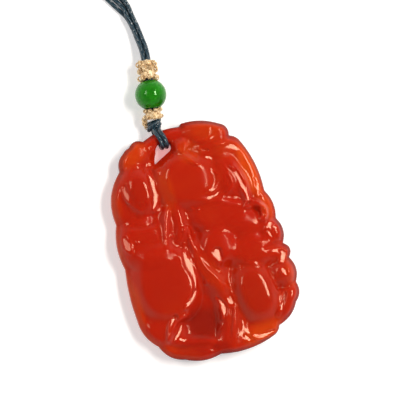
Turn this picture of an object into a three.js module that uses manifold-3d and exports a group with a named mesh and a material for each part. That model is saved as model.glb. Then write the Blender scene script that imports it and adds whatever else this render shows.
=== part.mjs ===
import * as THREE from 'three';
import { mergeVertices } from 'three/addons/utils/BufferGeometryUtils.js';
import Module from 'manifold-3d';

// A carved carnelian plaque on a doubled neck cord with a green bead between two gold thread collars.
// Millimetres. The plaque lies on its flat back, its carved front up along +Z, its hole towards +Y.

const PLAQUE_LENGTH = 60;
const PLAQUE_THICKNESS = 9;
const EDGE_HEIGHT = 3.6;        // height of the plaque's wall before its front rounds over
const EDGE_ROUND = 1.6;         // how far in from the outline the front reaches its full height
const BACK_ROUND = 0.8;         // rounding between the wall and the flat back
const GROUND_HEIGHT = 5.4;      // floor of the valleys between the carved forms
const FORM_FOOT = 0.6;          // how far under that floor a carved form's edge lies
const VALLEY_SOFTNESS = 1.4;    // how softly two carved forms run into each other
const HOLE_LIP_DROP = 0.8;      // how much lower the front is at the hole's edge
const HOLE_LIP_WIDTH = 1.2;
const CARVING_STEP = 1.02;      // spacing of the carved surface's points

const CORD_DIAMETER = 1.1;
const CORD_SPACING = 1.2;       // between the middles of two cords that lie together
const CORD_CLEARANCE = 0.35;    // between a cord and the stone that it passes
const CORD_SIDES = 8;
const CORD_STEP = 2.75;         // length of one tube segment
const LOOP_STEP = 1.1;          // the same in the tight loops through the hole
const CHANNEL_HEIGHT = 2.1;     // relief behind the bridge, which leaves the cord room
const CHANNEL_WIDTH = 4.6;

const KNOT_WIDTH = 3.9;
const KNOT_LENGTH = 2.7;
const KNOT_THICKNESS = 3.2;
const BEAD_DIAMETER = 8;
const BEAD_BORE = 3.3;
const COLLAR_BORE = 3.5;
const ROW_BULGE = 0.45;         // how far a thread row of a collar stands out
const LOWER_COLLAR = { diameter: 5.0, length: 2.1, rows: 2 };
const UPPER_COLLAR = { diameter: 5.4, length: 4.6, rows: 3 };

const KNOT_GAP = 0.7;           // between the plaque's top edge and the knot
const KNOT_ASIDE = 0.8;         // how far left of the loops the knot lies
const KNOT_HEIGHT = 2.9;        // the knot's middle above the surface
const BEAD_ASIDE = 1.1;         // how far right of the knot the bead lies
const COLLAR_GAP = 0.42;        // between the bead's mouths and the collars
const COLLAR_DROP = 0.4;        // how far the collars hang below the bead's middle
const CORD_LEAN = 0.15;         // how far the cords lean to the right for each unit of length

const COIL_CENTRE = [2.5, 79];
const COIL_TURNS = 6;
const COIL_INNER_TURN = 2.8;    // radius of the innermost turn's middle
const COIL_TURN_SPACING = 1.2;
const COIL_LAYER_SPACING = 1.25;
const CORD_COUNT = 4;
const END_KNOT_DIAMETER = 3.6;

// The carving is drawn in sixtieths of the plaque's length, from the middle of the plaque.
const UNIT = PLAQUE_LENGTH / 60;

// The outline as a chain of arcs, clockwise. Each entry is the point where an arc ends
// and how far the arc swells out of its chord.
const SCALLOPS = [
  [2.8, 29.2, 0.85], [3.2, 29.9, 0], [12.5, 27.5, 0.75], [14.4, 23.7, 0.95],
  [16.5, 22.2, 0.25], [19.3, 7.7, 1.0], [20.2, 0.1, 0.85], [20.2, -6.5, 1.0],
  [20.7, -10.4, 1.15], [20.7, -16.9, 1.0], [19.3, -21.8, 0.9], [13.5, -26.4, 0.85],
  [11.8, -28.4, 0.3], [-2.8, -29.2, 1.15], [-12, -28.1, 0.95], [-17.5, -23.2, 1.05],
  [-20.9, -15.4, 0.95], [-20.3, -2, 0.45], [-19.4, 9.5, 0.95], [-14.9, 22.3, 1.75],
  [-12.7, 26.6, 0.7], [-11.1, 27.4, 0.2], [-7.2, 28, 0.95],
];

// The pierced hole, as a chain of arcs in the same way.
const HOLE_EDGE = [
  [-5.8, 21.7, 0], [-4.9, 24.2, 0.15], [-3.8, 26.2, 0.3], [-1.7, 26.3, 0.15],
  [-0.8, 25.3, 0.25], [-1.2, 24.0, 0.2],
];

// Plump forms: place, half sizes, turn in degrees, height as a share of the thickness,
// and the width of the rounded shoulder.
const CUSHIONS = [
  { name: 'top left leaf', at: [-11.2, 25.2], half: [4.9, 3.7], turn: 24, top: 0.72, shoulder: 2.4 },
  { name: 'upper left husk', at: [-14.4, 15.0], half: [5.8, 7.8], turn: 8, top: 0.76, shoulder: 2.6 },
  { name: 'upper left fruit', at: [-11.5, 15.8], half: [4.7, 7.1], turn: 3, top: 0.96, shoulder: 3.2 },
  { name: 'left gourd neck', at: [-14.4, 3.4], half: [7.0, 6.6], turn: 8, top: 0.88, shoulder: 3.2 },
  { name: 'left gourd body', at: [-11.2, -8.0], half: [8.7, 10.6], turn: -4, top: 0.98, shoulder: 2.9 },
  { name: 'lower left fold', at: [-15.4, -19.6], half: [5.6, 4.4], turn: -38, top: 0.8, shoulder: 2.4 },
  { name: 'bottom left leaf', at: [-10.6, -26.0], half: [8.8, 3.6], turn: -14, top: 0.64, shoulder: 1.8 },
  { name: 'stem ground', at: [-6.4, 5.0], half: [4.6, 6.4], turn: 8, top: 0.76, shoulder: 2.6 },
  { name: 'vine ground', at: [-0.4, -7.5], half: [4.6, 8.0], turn: 18, top: 0.76, shoulder: 2.8 },
  { name: 'centre fruit', at: [3.6, -2.6], half: [5.6, 5.8], turn: -10, top: 0.93, shoulder: 3.0 },
  { name: 'middle leaf', at: [6.6, 4.9], half: [9.6, 5.2], turn: -17, top: 0.86, shoulder: 2.2 },
  { name: 'upper centre fruit', at: [0.6, 15.6], half: [8.2, 8.2], turn: 0, top: 0.98, shoulder: 4.0 },
  { name: 'fruit husk', at: [5.4, 13.6], half: [7.6, 7.2], turn: -20, top: 0.84, shoulder: 2.4 },
  { name: 'fruit stalk', at: [1.6, 24.0], half: [2.6, 2.2], turn: 0, top: 0.84, shoulder: 1.4 },
  { name: 'top bridge', at: [-1.6, 27.2], half: [5.6, 3.0], turn: 5, top: 0.62, shoulder: 1.6 },
  { name: 'top right leaf', at: [9.0, 25.6], half: [6.8, 4.2], turn: -13, top: 0.8, shoulder: 2.4 },
  { name: 'top right fold', at: [9.4, 21.4], half: [6.4, 3.0], turn: -6, top: 0.82, shoulder: 2.0 },
  { name: 'right leaf', at: [15.8, 14.4], half: [4.0, 9.4], turn: 6, top: 0.72, shoulder: 2.4 },
  { name: 'right leaf inner', at: [11.4, 13.6], half: [3.6, 7.2], turn: 8, top: 0.88, shoulder: 2.2 },
  { name: 'right middle', at: [12.4, 0.2], half: [6.6, 4.2], turn: -14, top: 0.82, shoulder: 2.6 },
  { name: 'right edge lobe 1', at: [18.7, 4.0], half: [2.6, 4.2], turn: 0, top: 0.68, shoulder: 1.6 },
  { name: 'right edge lobe 2', at: [18.1, -2.8], half: [3.4, 3.6], turn: 0, top: 0.82, shoulder: 2.0 },
  { name: 'right edge lobe 3', at: [18.7, -8.6], half: [3.1, 2.5], turn: 0, top: 0.76, shoulder: 1.6 },
  { name: 'right edge lobe 4', at: [18.0, -13.6], half: [3.7, 3.4], turn: 0, top: 0.84, shoulder: 2.0 },
  { name: 'right edge lobe 5', at: [17.0, -20.8], half: [3.0, 5.2], turn: -32, top: 0.78, shoulder: 1.8 },
  { name: 'lower right neck', at: [11.8, -6.0], half: [7.2, 4.8], turn: -14, top: 0.88, shoulder: 2.8 },
  { name: 'lower right gourd', at: [9.8, -16.4], half: [6.0, 8.6], turn: 6, top: 0.97, shoulder: 3.2 },
  { name: 'bottom right leaf', at: [8.8, -26.4], half: [5.8, 3.2], turn: 8, top: 0.66, shoulder: 1.8 },
];
const OVAL_EXPONENT = 2.3;      // 2 is an ellipse, more is squarer
const DOME_SHARE = 0.25;        // how much of a form's rise goes on past its shoulder

// Round bars along a curve: the vine and the rolled edges of leaves. The points run
// along the bar, width is its half width at the start, middle and end.
const BARS = [
  { name: 'vine', width: [1.4, 2.4, 2.6], top: 0.84,
    path: [[-3, 3.4], [-2.4, -2], [-0.6, -8], [1.6, -13]] },
  { name: 'vine foot', width: [2.4, 3.4, 4.4], top: 0.76,
    path: [[0.6, -10.6], [1.8, -16], [1.9, -22], [0.6, -28.5]] },
  { name: 'stem left', width: [1.4, 1.9, 1.5], top: 0.86,
    path: [[-6.6, 9.4], [-8, 4.6], [-9, 0]] },
  { name: 'stem right', width: [1.8, 2.4, 1.8], top: 0.82,
    path: [[-4.0, 10], [-3.8, 6], [-5.2, 1.6]] },
  { name: 'upper stem', width: [1.2, 1.7, 1.4], top: 0.74,
    path: [[-6.0, 20], [-6.2, 14], [-5.2, 9]] },
  { name: 'right leaf roll', width: [0.9, 1.5, 1.1], top: 0.9,
    path: [[12.6, 16.4], [14.3, 12], [14.2, 5.8]] },
  { name: 'right curl', width: [0.9, 1.2, 1.0], top: 0.9,
    path: [[13.2, 5.2], [15.8, 5.4], [17.5, 3.2], [16.8, 0.8]] },
  { name: 'left edge roll', width: [1.2, 1.7, 1.2], top: 0.62,
    path: [[-18.9, -4], [-20, -9.5], [-19.6, -15]] },
  { name: 'fold ridge', width: [1.0, 1.4, 0.9], top: 0.88,
    path: [[-9, -17.4], [-12.2, -18], [-14.9, -22]] },
];

// Hollows press the valley floor down.
const HOLLOWS = [
  { name: 'dark hollow', at: [-5, -20.2], half: [6.2, 6.0], turn: 10, depth: 1.7 },
  { name: 'hollow at the hole', at: [-4.2, 22.6], half: [2.6, 2.4], turn: 30, depth: 1.4 },
  { name: 'pocket in the curl', at: [15.6, 2.6], half: [1.5, 2.0], turn: 0, depth: 1.6 },
];
const HOLLOW_STEEPNESS = 1.4;

const materialOf = (color, roughness, metalness = 0) =>
  new THREE.MeshStandardMaterial({ color, roughness, metalness });
const CARNELIAN = () => materialOf(0xb92512, 0.1);
const GREEN_STONE = () => materialOf(0x0f8a24, 0.1);
const GOLD_THREAD = () => materialOf(0xcdb37a, 0.45, 0.6);
const CORD = () => materialOf(0x1d3a4a, 0.6);

const pendant = new THREE.Group();
const wasm = await Module();
wasm.setup();

function addPiece(name, geometry, material) {
  const mesh = new THREE.Mesh(geometry, material);
  mesh.name = name;
  pendant.add(mesh);
  return mesh;
}

function toSolid(geometry) {
  const bare = geometry.clone();
  bare.deleteAttribute('normal');
  bare.deleteAttribute('uv');
  const merged = mergeVertices(bare, 1e-4);
  return new wasm.Manifold(new wasm.Mesh({
    numProp: 3,
    vertProperties: Float32Array.from(merged.attributes.position.array),
    triVerts: Uint32Array.from(merged.index.array),
  }));
}

function toGeometry(solid) {
  const mesh = solid.getMesh();
  const geometry = new THREE.BufferGeometry();
  geometry.setAttribute('position', new THREE.BufferAttribute(Float32Array.from(mesh.vertProperties), 3));
  geometry.setIndex(Array.from(mesh.triVerts));
  geometry.computeVertexNormals();
  return geometry;
}

// Points along the arc from one point to another that swells left of the way, seen from above.
function arcPoints(from, to, swell, spacing) {
  const chord = to.clone().sub(from);
  const outward = new THREE.Vector2(-chord.y, chord.x).normalize();
  const count = Math.max(1, Math.round(chord.length() / spacing));
  const points = [];
  for (let i = 0; i < count; i += 1) {
    const t = i / count;
    const bulge = 4 * t * (1 - t) * swell;
    points.push(from.clone().addScaledVector(chord, t).addScaledVector(outward, bulge));
  }
  return points;
}

function chainOfArcs(entries, spacing) {
  const ends = entries.map(([x, y]) => new THREE.Vector2(x * UNIT, y * UNIT));
  return entries.flatMap(([, , swell], i) =>
    arcPoints(ends.at(i - 1), ends[i], swell * UNIT, spacing));
}

// The plaque's place: the middle of its outline's box is the origin.
const drawnOutline = chainOfArcs(SCALLOPS, 1.2 * UNIT);
const drawnBox = new THREE.Box2().setFromPoints(drawnOutline);
const drawnMiddle = drawnBox.getCenter(new THREE.Vector2());
const plaqueSize = drawnBox.getSize(new THREE.Vector2());
const outline = drawnOutline.map((p) => p.sub(drawnMiddle));
const holeEdge = chainOfArcs(HOLE_EDGE, 0.8 * UNIT).map((p) => p.sub(drawnMiddle));

const placed = ([x, y]) => new THREE.Vector2(x * UNIT, y * UNIT).sub(drawnMiddle);

function distanceToLoop(loop, x, y) {
  let nearest = Infinity;
  for (let i = 0; i < loop.length; i += 1) {
    const a = loop[i];
    const b = loop[(i + 1) % loop.length];
    const along = ((x - a.x) * (b.x - a.x) + (y - a.y) * (b.y - a.y)) / a.distanceToSquared(b);
    const t = THREE.MathUtils.clamp(along, 0, 1);
    nearest = Math.min(nearest, Math.hypot(x - a.x - t * (b.x - a.x), y - a.y - t * (b.y - a.y)));
  }
  return nearest;
}

function isInside(loop, x, y) {
  let inside = false;
  for (let i = 0, j = loop.length - 1; i < loop.length; j = i, i += 1) {
    const a = loop[i];
    const b = loop[j];
    const crosses = a.y > y !== b.y > y && x < ((b.x - a.x) * (y - a.y)) / (b.y - a.y) + a.x;
    if (crosses) inside = !inside;
  }
  return inside;
}

// Rises from 0 to 1 and levels off, while the share goes from 0 to 1.
function roundedShoulder(share) {
  return 1 - (1 - THREE.MathUtils.clamp(share, 0, 1)) ** 2.2;
}

// Rises from 0 to 1 as a quarter circle, straight up at first.
function quarterCircle(share) {
  return Math.sqrt(1 - (1 - THREE.MathUtils.clamp(share, 0, 1)) ** 2);
}

// The greater of two heights, with a soft crease where they meet.
function softMax(a, b, softness) {
  const overlap = Math.max(softness - Math.abs(a - b), 0) / softness;
  return Math.max(a, b) + overlap * overlap * softness * 0.25;
}

// How far inside an oval a point lies: 1 at its middle, 0 on its edge.
function depthInOval(form, x, y) {
  const middle = placed(form.at);
  const turn = THREE.MathUtils.degToRad(form.turn);
  const across = Math.cos(turn) * (x - middle.x) + Math.sin(turn) * (y - middle.y);
  const along = Math.cos(turn) * (y - middle.y) - Math.sin(turn) * (x - middle.x);
  const u = Math.abs(across) / (form.half[0] * UNIT);
  const v = Math.abs(along) / (form.half[1] * UNIT);
  return 1 - (u ** OVAL_EXPONENT + v ** OVAL_EXPONENT) ** (1 / OVAL_EXPONENT);
}

// A form rises from its foot to its own top, by a share from 0 to 1.
function risen(form, share) {
  const foot = GROUND_HEIGHT - FORM_FOOT;
  return foot + (form.top * PLAQUE_THICKNESS - foot) * share;
}

function cushionHeight(form, x, y) {
  const depth = depthInOval(form, x, y);
  if (depth <= 0) return 0;
  const shoulder = roundedShoulder((depth * Math.min(...form.half)) / form.shoulder);
  return risen(form, (1 - DOME_SHARE) * shoulder + DOME_SHARE * roundedShoulder(depth));
}

const barLines = BARS.map((bar) => {
  const curve = new THREE.SplineCurve(bar.path.map(placed));
  return curve.getPoints(20);
});

function barHeight(bar, line, x, y) {
  const [start, middle, end] = bar.width;
  let nearest = 1;
  line.forEach((point, i) => {
    const t = i / (line.length - 1);
    const width = t < 0.5 ? start + (middle - start) * t * 2 : middle + (end - middle) * (t * 2 - 1);
    nearest = Math.min(nearest, Math.hypot(x - point.x, y - point.y) / (width * UNIT));
  });
  return nearest < 1 ? risen(bar, 1 - nearest * nearest) : 0;
}

function frontHeight(x, y) {
  let height = GROUND_HEIGHT;
  for (const hollow of HOLLOWS) {
    const share = roundedShoulder(depthInOval(hollow, x, y) * HOLLOW_STEEPNESS);
    height -= hollow.depth * UNIT * share;
  }
  for (const form of CUSHIONS) {
    height = softMax(height, cushionHeight(form, x, y), VALLEY_SOFTNESS);
  }
  BARS.forEach((bar, i) => {
    height = softMax(height, barHeight(bar, barLines[i], x, y), VALLEY_SOFTNESS);
  });
  const fromEdge = isInside(outline, x, y) ? distanceToLoop(outline, x, y) : 0;
  const rounded = EDGE_HEIGHT + (height - EDGE_HEIGHT) * quarterCircle(fromEdge / EDGE_ROUND);
  const fromHole = isInside(holeEdge, x, y) ? 0 : distanceToLoop(holeEdge, x, y);
  return rounded - HOLE_LIP_DROP * (1 - roundedShoulder(fromHole / HOLE_LIP_WIDTH));
}

// The cords pass through the right end of the hole, side by side.
const holeBox = new THREE.Box2().setFromPoints(holeEdge);
const loopX = holeBox.max.x - CORD_CLEARANCE - (CORD_DIAMETER + CORD_SPACING) / 2;
const loopY = holeBox.max.y - CORD_CLEARANCE - CORD_DIAMETER / 2;

// A closed loop of points pushed up from one height to another, round at its lower edge.
function raisedLoop(loop, bottom, top, edgeRound) {
  const geometry = new THREE.ExtrudeGeometry(new THREE.Shape(loop), {
    depth: top - bottom - 2 * edgeRound,
    bevelEnabled: edgeRound > 0,
    bevelThickness: edgeRound,
    bevelSize: edgeRound,
    bevelOffset: -edgeRound,
    bevelSegments: 2,
  });
  return geometry.translate(0, 0, bottom + edgeRound);
}

// Behind the bridge the back is hollowed from the hole to the top edge, so that the cords
// have room while the plaque lies flat.
function makeChannel() {
  const section = [];
  const steps = 10;
  for (let i = 0; i <= steps; i += 1) {
    const angle = (Math.PI * i) / steps;
    const across = Math.sign(Math.cos(angle)) * Math.sqrt(Math.abs(Math.cos(angle)));
    const up = Math.sqrt(Math.sin(angle));
    section.push(new THREE.Vector2(across * (CHANNEL_WIDTH / 2), up * CHANNEL_HEIGHT));
  }
  section.push(new THREE.Vector2(-CHANNEL_WIDTH / 2, -1), new THREE.Vector2(CHANNEL_WIDTH / 2, -1));
  const reach = plaqueSize.y / 2 + 2 - loopY;
  return raisedLoop(section, 0, reach, 0).rotateX(Math.PI / 2).translate(loopX, loopY + reach, 0);
}

function makePlaque() {
  const columns = Math.ceil(plaqueSize.x / CARVING_STEP) + 1;
  const rows = Math.ceil(plaqueSize.y / CARVING_STEP) + 1;
  const block = new THREE.BoxGeometry(plaqueSize.x + 2, plaqueSize.y + 2, 2, columns, rows, 1);
  const position = block.attributes.position;
  for (let i = 0; i < position.count; i += 1) {
    const isFront = position.getZ(i) > 0;
    position.setZ(i, isFront ? frontHeight(position.getX(i), position.getY(i)) : -1);
  }
  const blank = toSolid(raisedLoop(outline, 0, 2 * PLAQUE_THICKNESS, BACK_ROUND));
  const hole = toSolid(raisedLoop(holeEdge, -2, PLAQUE_THICKNESS + 2, 0));
  return toGeometry(blank.intersect(toSolid(block)).subtract(hole).subtract(toSolid(makeChannel())));
}

// A cord along its route: a tube with closed ends.
function makeCord(points, step) {
  const route = new THREE.CatmullRomCurve3(points, false, 'centripetal');
  const section = new THREE.Shape();
  for (let i = 0; i < CORD_SIDES; i += 1) {
    const angle = (2 * Math.PI * i) / CORD_SIDES;
    const x = (Math.cos(angle) * CORD_DIAMETER) / 2;
    const y = (Math.sin(angle) * CORD_DIAMETER) / 2;
    if (i === 0) section.moveTo(x, y);
    else section.lineTo(x, y);
  }
  section.closePath();
  const steps = Math.ceil(route.getLength() / step);
  const options = { steps, extrudePath: route, curveSegments: 1, bevelEnabled: false };
  return new THREE.ExtrudeGeometry(section, options);
}

// The line that the cords follow through the knot, collars and bead, in millimetres.
// It starts above the plaque's top edge, where the knot lies.
const topEdge = outline.reduce((y, p) => (Math.abs(p.x - loopX) < 2 ? Math.max(y, p.y) : y), 0);
const knotMiddle = new THREE.Vector3(
  loopX - KNOT_ASIDE,
  topEdge + KNOT_GAP + KNOT_LENGTH / 2,
  KNOT_HEIGHT,
);
const beadMiddle = new THREE.Vector3(
  knotMiddle.x + BEAD_ASIDE,
  knotMiddle.y + KNOT_LENGTH / 2 + LOWER_COLLAR.length + BEAD_DIAMETER / 2,
  BEAD_DIAMETER / 2,
);
const lean = new THREE.Vector3(CORD_LEAN, 1, 0).normalize();
const boreReach = Math.sqrt(BEAD_DIAMETER ** 2 - BEAD_BORE ** 2) / 2;
const fromBead = (distance) => beadMiddle.clone().addScaledVector(lean, distance);
const lowerCollarMiddle = fromBead(-boreReach - COLLAR_GAP - LOWER_COLLAR.length / 2);
lowerCollarMiddle.z -= COLLAR_DROP;
const upperCollarMiddle = fromBead(boreReach + COLLAR_GAP + UPPER_COLLAR.length / 2);
upperCollarMiddle.z -= COLLAR_DROP;
const aboveCollar = upperCollarMiddle.clone().addScaledVector(lean, UPPER_COLLAR.length / 2 + 0.4);
aboveCollar.z -= 0.45;

const threadingStart = new THREE.Vector3(
  knotMiddle.x + 0.12, knotMiddle.y + KNOT_LENGTH / 2 + CORD_CLEARANCE + 0.1, knotMiddle.z + 0.45);
const threading = [
  threadingStart,
  lowerCollarMiddle,
  fromBead(-boreReach + 0.3),
  beadMiddle,
  fromBead(boreReach - 0.3),
  upperCollarMiddle,
  aboveCollar,
];

// From the upper collar the four cords run down to the surface as one bundle, part into
// pairs and rise on to each other where the coil begins. Points chosen by hand.
const BUNDLE = [[-0.7, 51, 2.4], [-0.9, 54, 1.65], [-1.2, 57, 1.25]];
const FREE_ROUTES = [
  [[-2.5, 60, 0.62], [-3.95, 62.5, 0.62], [-5.2, 64.5, 0.62], [-6.6, 67, 0.62], [-7.3, 69.5, 0.62],
    [-7.5, 73.2, 0.62]],
  [[-2.4, 60, 1.82], [-2.75, 62.5, 1.38], [-3.75, 64.5, 0.68], [-5.2, 67, 0.72], [-6.45, 69.5, 1.5],
    [-7.45, 73.2, 1.87]],
  [[-1.2, 60, 0.62], [-1.6, 62.5, 0.62], [-2.35, 64.5, 0.62], [-3.8, 67, 0.8], [-5.05, 69.5, 1.75],
    [-6.15, 71, 2.6], [-7.05, 72.5, 3.12]],
  [[-1.1, 60, 1.82], [-1.4, 62.5, 1.82], [-2, 64.5, 1.8], [-3, 67, 1.75], [-4.2, 69.5, 2.8],
    [-5.5, 71, 3.75], [-6.3, 71.85, 4.2]],
];
const CORNERS = [[-0.5, -0.5], [-0.5, 0.5], [0.5, -0.5], [0.5, 0.5]];

function neckCordPoints(index) {
  const [across, above] = CORNERS[index];
  const shift = new THREE.Vector3(across * CORD_SPACING, 0, above * CORD_SPACING);
  const together = [...threading, ...BUNDLE.map((p) => new THREE.Vector3(...p))];
  const free = FREE_ROUTES[index].map((p) => new THREE.Vector3(...p));
  return [...together.map((p) => p.clone().add(shift)), ...free];
}

// A loop leaves the knot, lies over the front of the bridge, goes down through the hole
// and comes back behind the bridge.
function loopCordPoints(side) {
  const x = loopX + (side * CORD_SPACING) / 2;
  const lift = CORD_DIAMETER / 2 + CORD_CLEARANCE;
  const atKnot = knotMiddle.x + (side * CORD_SPACING) / 2;
  const overBridge = (y, share) => {
    const between = atKnot + (x - atKnot) * share;
    return new THREE.Vector3(between, y, frontHeight(between, y) + lift);
  };
  const bridgeEnd = loopY + CORD_DIAMETER / 2 + CORD_CLEARANCE;
  const floorLevel = CORD_DIAMETER / 2 + 0.1;
  return [
    new THREE.Vector3(atKnot, knotMiddle.y - 1.22, knotMiddle.z + 1.36),
    new THREE.Vector3(atKnot, topEdge + 0.2, Math.max(EDGE_HEIGHT + lift + 0.8, knotMiddle.z + 2)),
    overBridge(topEdge - 1.0, 0.25).add(new THREE.Vector3(0, 0, 0.15)),
    overBridge((topEdge + bridgeEnd) / 2 - 0.1, 0.6),
    overBridge(bridgeEnd + 0.5, 0.85),
    new THREE.Vector3(x, bridgeEnd - 0.55, frontHeight(x, bridgeEnd + 0.6) + lift - 0.35),
    new THREE.Vector3(x, loopY - 0.25, GROUND_HEIGHT - 0.6),
    new THREE.Vector3(x, loopY - 0.3, 2.7),
    new THREE.Vector3(x, loopY + 0.05, 1.35),
    new THREE.Vector3(x, loopY + 0.9, floorLevel),
    new THREE.Vector3(x + (atKnot - x) * 0.35, (topEdge + bridgeEnd) / 2, floorLevel),
    new THREE.Vector3(x + (atKnot - x) * 0.75, topEdge - 0.6, floorLevel),
    new THREE.Vector3(atKnot, topEdge + 0.3, floorLevel + 0.3),
    new THREE.Vector3(atKnot, knotMiddle.y - 1.22, knotMiddle.z - 1.36),
  ];
}

function makeKnot() {
  const knot = new THREE.SphereGeometry(0.5, 14, 9);
  return knot.scale(KNOT_WIDTH, KNOT_LENGTH, KNOT_THICKNESS).translate(...knotMiddle.toArray());
}

// A round piece threaded on the cords: its axis turned from Y to the way of the cords.
function placeOnCords(geometry, middle, direction) {
  const upright = new THREE.Vector3(0, 1, 0);
  const turn = new THREE.Quaternion().setFromUnitVectors(upright, direction.clone().normalize());
  return geometry.applyQuaternion(turn).translate(...middle.toArray());
}

function makeBead() {
  const radius = BEAD_DIAMETER / 2;
  const bore = BEAD_BORE / 2;
  const mouthAngle = Math.asin(bore / radius);
  const profile = [];
  const steps = 11;
  for (let i = 0; i <= steps; i += 1) {
    const angle = mouthAngle + ((Math.PI - 2 * mouthAngle) * i) / steps;
    profile.push(new THREE.Vector2(radius * Math.sin(angle), -radius * Math.cos(angle)));
  }
  profile.push(profile[0].clone());
  return new THREE.LatheGeometry(profile, 22);
}

// A collar is a ring of thread rows, each row a round bulge.
function makeCollar({ diameter, length, rows }) {
  const bore = COLLAR_BORE / 2;
  const profile = [new THREE.Vector2(bore, -length / 2)];
  const stepsInRow = 4;
  for (let row = 0; row < rows; row += 1) {
    for (let i = 0; i <= stepsInRow; i += 1) {
      if (row > 0 && i === 0) continue;
      const share = i / stepsInRow;
      const y = -length / 2 + (length * (row + share)) / rows;
      const radius = diameter / 2 - ROW_BULGE * (1 - Math.sin(Math.PI * share));
      profile.push(new THREE.Vector2(radius, y));
    }
  }
  profile.push(new THREE.Vector2(bore, length / 2), profile[0].clone());
  return new THREE.LatheGeometry(profile, 16);
}

function makeCoil() {
  const inner = COIL_INNER_TURN - CORD_DIAMETER / 2 - 0.05;
  const outer = COIL_INNER_TURN + COIL_TURNS * COIL_TURN_SPACING + CORD_DIAMETER / 2 + 0.05;
  const top = CORD_COUNT * COIL_LAYER_SPACING;
  const corner = 0.5;
  const profile = [
    [inner, 0.02 + corner], [inner + corner, 0.02], [outer - corner, 0.02], [outer, 0.02 + corner],
    [outer, top - corner], [outer - corner, top], [inner + corner, top], [inner, top - corner],
    [inner, 0.02 + corner],
  ].map(([x, y]) => new THREE.Vector2(x, y));
  return new THREE.LatheGeometry(profile, 26).rotateX(Math.PI / 2).translate(...COIL_CENTRE, 0);
}

function makeEndKnot() {
  const radius = END_KNOT_DIAMETER / 2;
  const top = CORD_COUNT * COIL_LAYER_SPACING;
  const profile = [
    [0, 0.02], [radius * 0.7, 0.02], [radius, 0.6], [radius, top - 0.6], [radius * 0.7, top], [0, top],
  ].map(([x, y]) => new THREE.Vector2(x, y));
  return new THREE.LatheGeometry(profile, 16).rotateX(Math.PI / 2).translate(...COIL_CENTRE, 0);
}

addPiece('carnelian_plaque', makePlaque(), CARNELIAN());
addPiece('loop_cord_left', makeCord(loopCordPoints(-1), LOOP_STEP), CORD());
addPiece('loop_cord_right', makeCord(loopCordPoints(1), LOOP_STEP), CORD());
addPiece('cord_knot', makeKnot(), CORD());
const lowerDirection = threading[2].clone().sub(threading[0]);
const lowerCollar = placeOnCords(makeCollar(LOWER_COLLAR), lowerCollarMiddle, lowerDirection);
addPiece('lower_gold_collar', lowerCollar, GOLD_THREAD());
addPiece('green_bead', placeOnCords(makeBead(), beadMiddle, lean), GREEN_STONE());
const upperDirection = threading[6].clone().sub(threading[4]);
const upperCollar = placeOnCords(makeCollar(UPPER_COLLAR), upperCollarMiddle, upperDirection);
addPiece('upper_gold_collar', upperCollar, GOLD_THREAD());
for (let i = 0; i < CORD_COUNT; i += 1) {
  addPiece(`neck_cord_${i + 1}`, makeCord(neckCordPoints(i), CORD_STEP), CORD());
}
addPiece('neck_cord_coil', makeCoil(), CORD());
addPiece('end_knot', makeEndKnot(), CORD());

export default pendant;
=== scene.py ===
# %% [markdown]
# # A carved carnelian plaque pendant
# A plaque of translucent red stone lies on its flat back. Two cords pass through the
# pierced hole near its top and run on, as four strands, through a knot, a collar of gold
# thread, a green bead and a taller gold collar. Each step below says what a piece is on
# the real object and why it is made the way it is. Lengths are metres in the scene, and
# most values are written in millimetres and turned to metres by MM.

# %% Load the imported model
import math

import bmesh
import bpy
import numpy as np
from mathutils import Matrix, Vector


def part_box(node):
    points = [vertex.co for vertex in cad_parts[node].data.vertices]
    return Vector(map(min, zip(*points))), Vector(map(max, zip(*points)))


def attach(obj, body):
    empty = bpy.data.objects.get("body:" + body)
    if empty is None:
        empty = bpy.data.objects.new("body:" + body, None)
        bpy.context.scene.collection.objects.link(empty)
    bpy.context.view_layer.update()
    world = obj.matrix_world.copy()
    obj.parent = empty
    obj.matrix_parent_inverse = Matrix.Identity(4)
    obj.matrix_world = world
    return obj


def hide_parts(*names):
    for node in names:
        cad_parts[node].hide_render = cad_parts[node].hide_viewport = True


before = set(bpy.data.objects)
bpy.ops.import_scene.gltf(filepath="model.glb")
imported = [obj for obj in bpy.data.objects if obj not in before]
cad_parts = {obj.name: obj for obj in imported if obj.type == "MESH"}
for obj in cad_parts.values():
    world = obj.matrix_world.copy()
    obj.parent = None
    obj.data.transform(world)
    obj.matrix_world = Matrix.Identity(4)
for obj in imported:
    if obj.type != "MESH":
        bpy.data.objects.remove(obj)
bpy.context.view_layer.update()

MM = 0.001


def box_of(node):
    """The middle and the size of a node's box, in metres."""
    low, high = (Vector(corner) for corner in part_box(node))
    return (low + high) / 2, high - low


PLAQUE_SIZE = box_of("carnelian_plaque")[1]
print("the plaque measures", [round(side / MM, 2) for side in PLAQUE_SIZE], "mm")

# %% [markdown]
# Every mesh is drawn in millimetres with bmesh, turned to metres at the end, and stands at
# the origin. A finished piece rides on the part's one body, has one material, and takes
# the place of the model's nodes that it dresses.

# %% From a drawing to a piece
def add_object(name, data):
    made = bpy.data.objects.new(name, data)
    bpy.context.collection.objects.link(made)
    return made


def add_mesh(name, bm, middle=(0, 0, 0), smooth=False):
    """An object from a bmesh that was drawn in millimetres about its own middle."""
    bmesh.ops.translate(bm, vec=middle, verts=bm.verts)
    bmesh.ops.scale(bm, vec=(MM, MM, MM), verts=bm.verts)
    for face in bm.faces:
        face.smooth = smooth
    mesh = bpy.data.meshes.new(name)
    bm.to_mesh(mesh)
    bm.free()
    print(name, "has", len(mesh.polygons), "faces")
    return add_object(name, mesh)


def keep_as(piece, slot, material, *nodes):
    """The piece takes the place of the model's nodes and gets its material; its slot is not used."""
    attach(piece, "root")
    if nodes:
        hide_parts(*nodes)
    piece.data.materials.append(material)


# %% [markdown]
# ## The camera and the light
# The photograph looks almost straight down, with the plaque's top turned to the upper
# left. The camera stands high over the plaque, leans a few degrees towards its lower
# left, so that a little of that wall shows, and is turned by the same angle.

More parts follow.
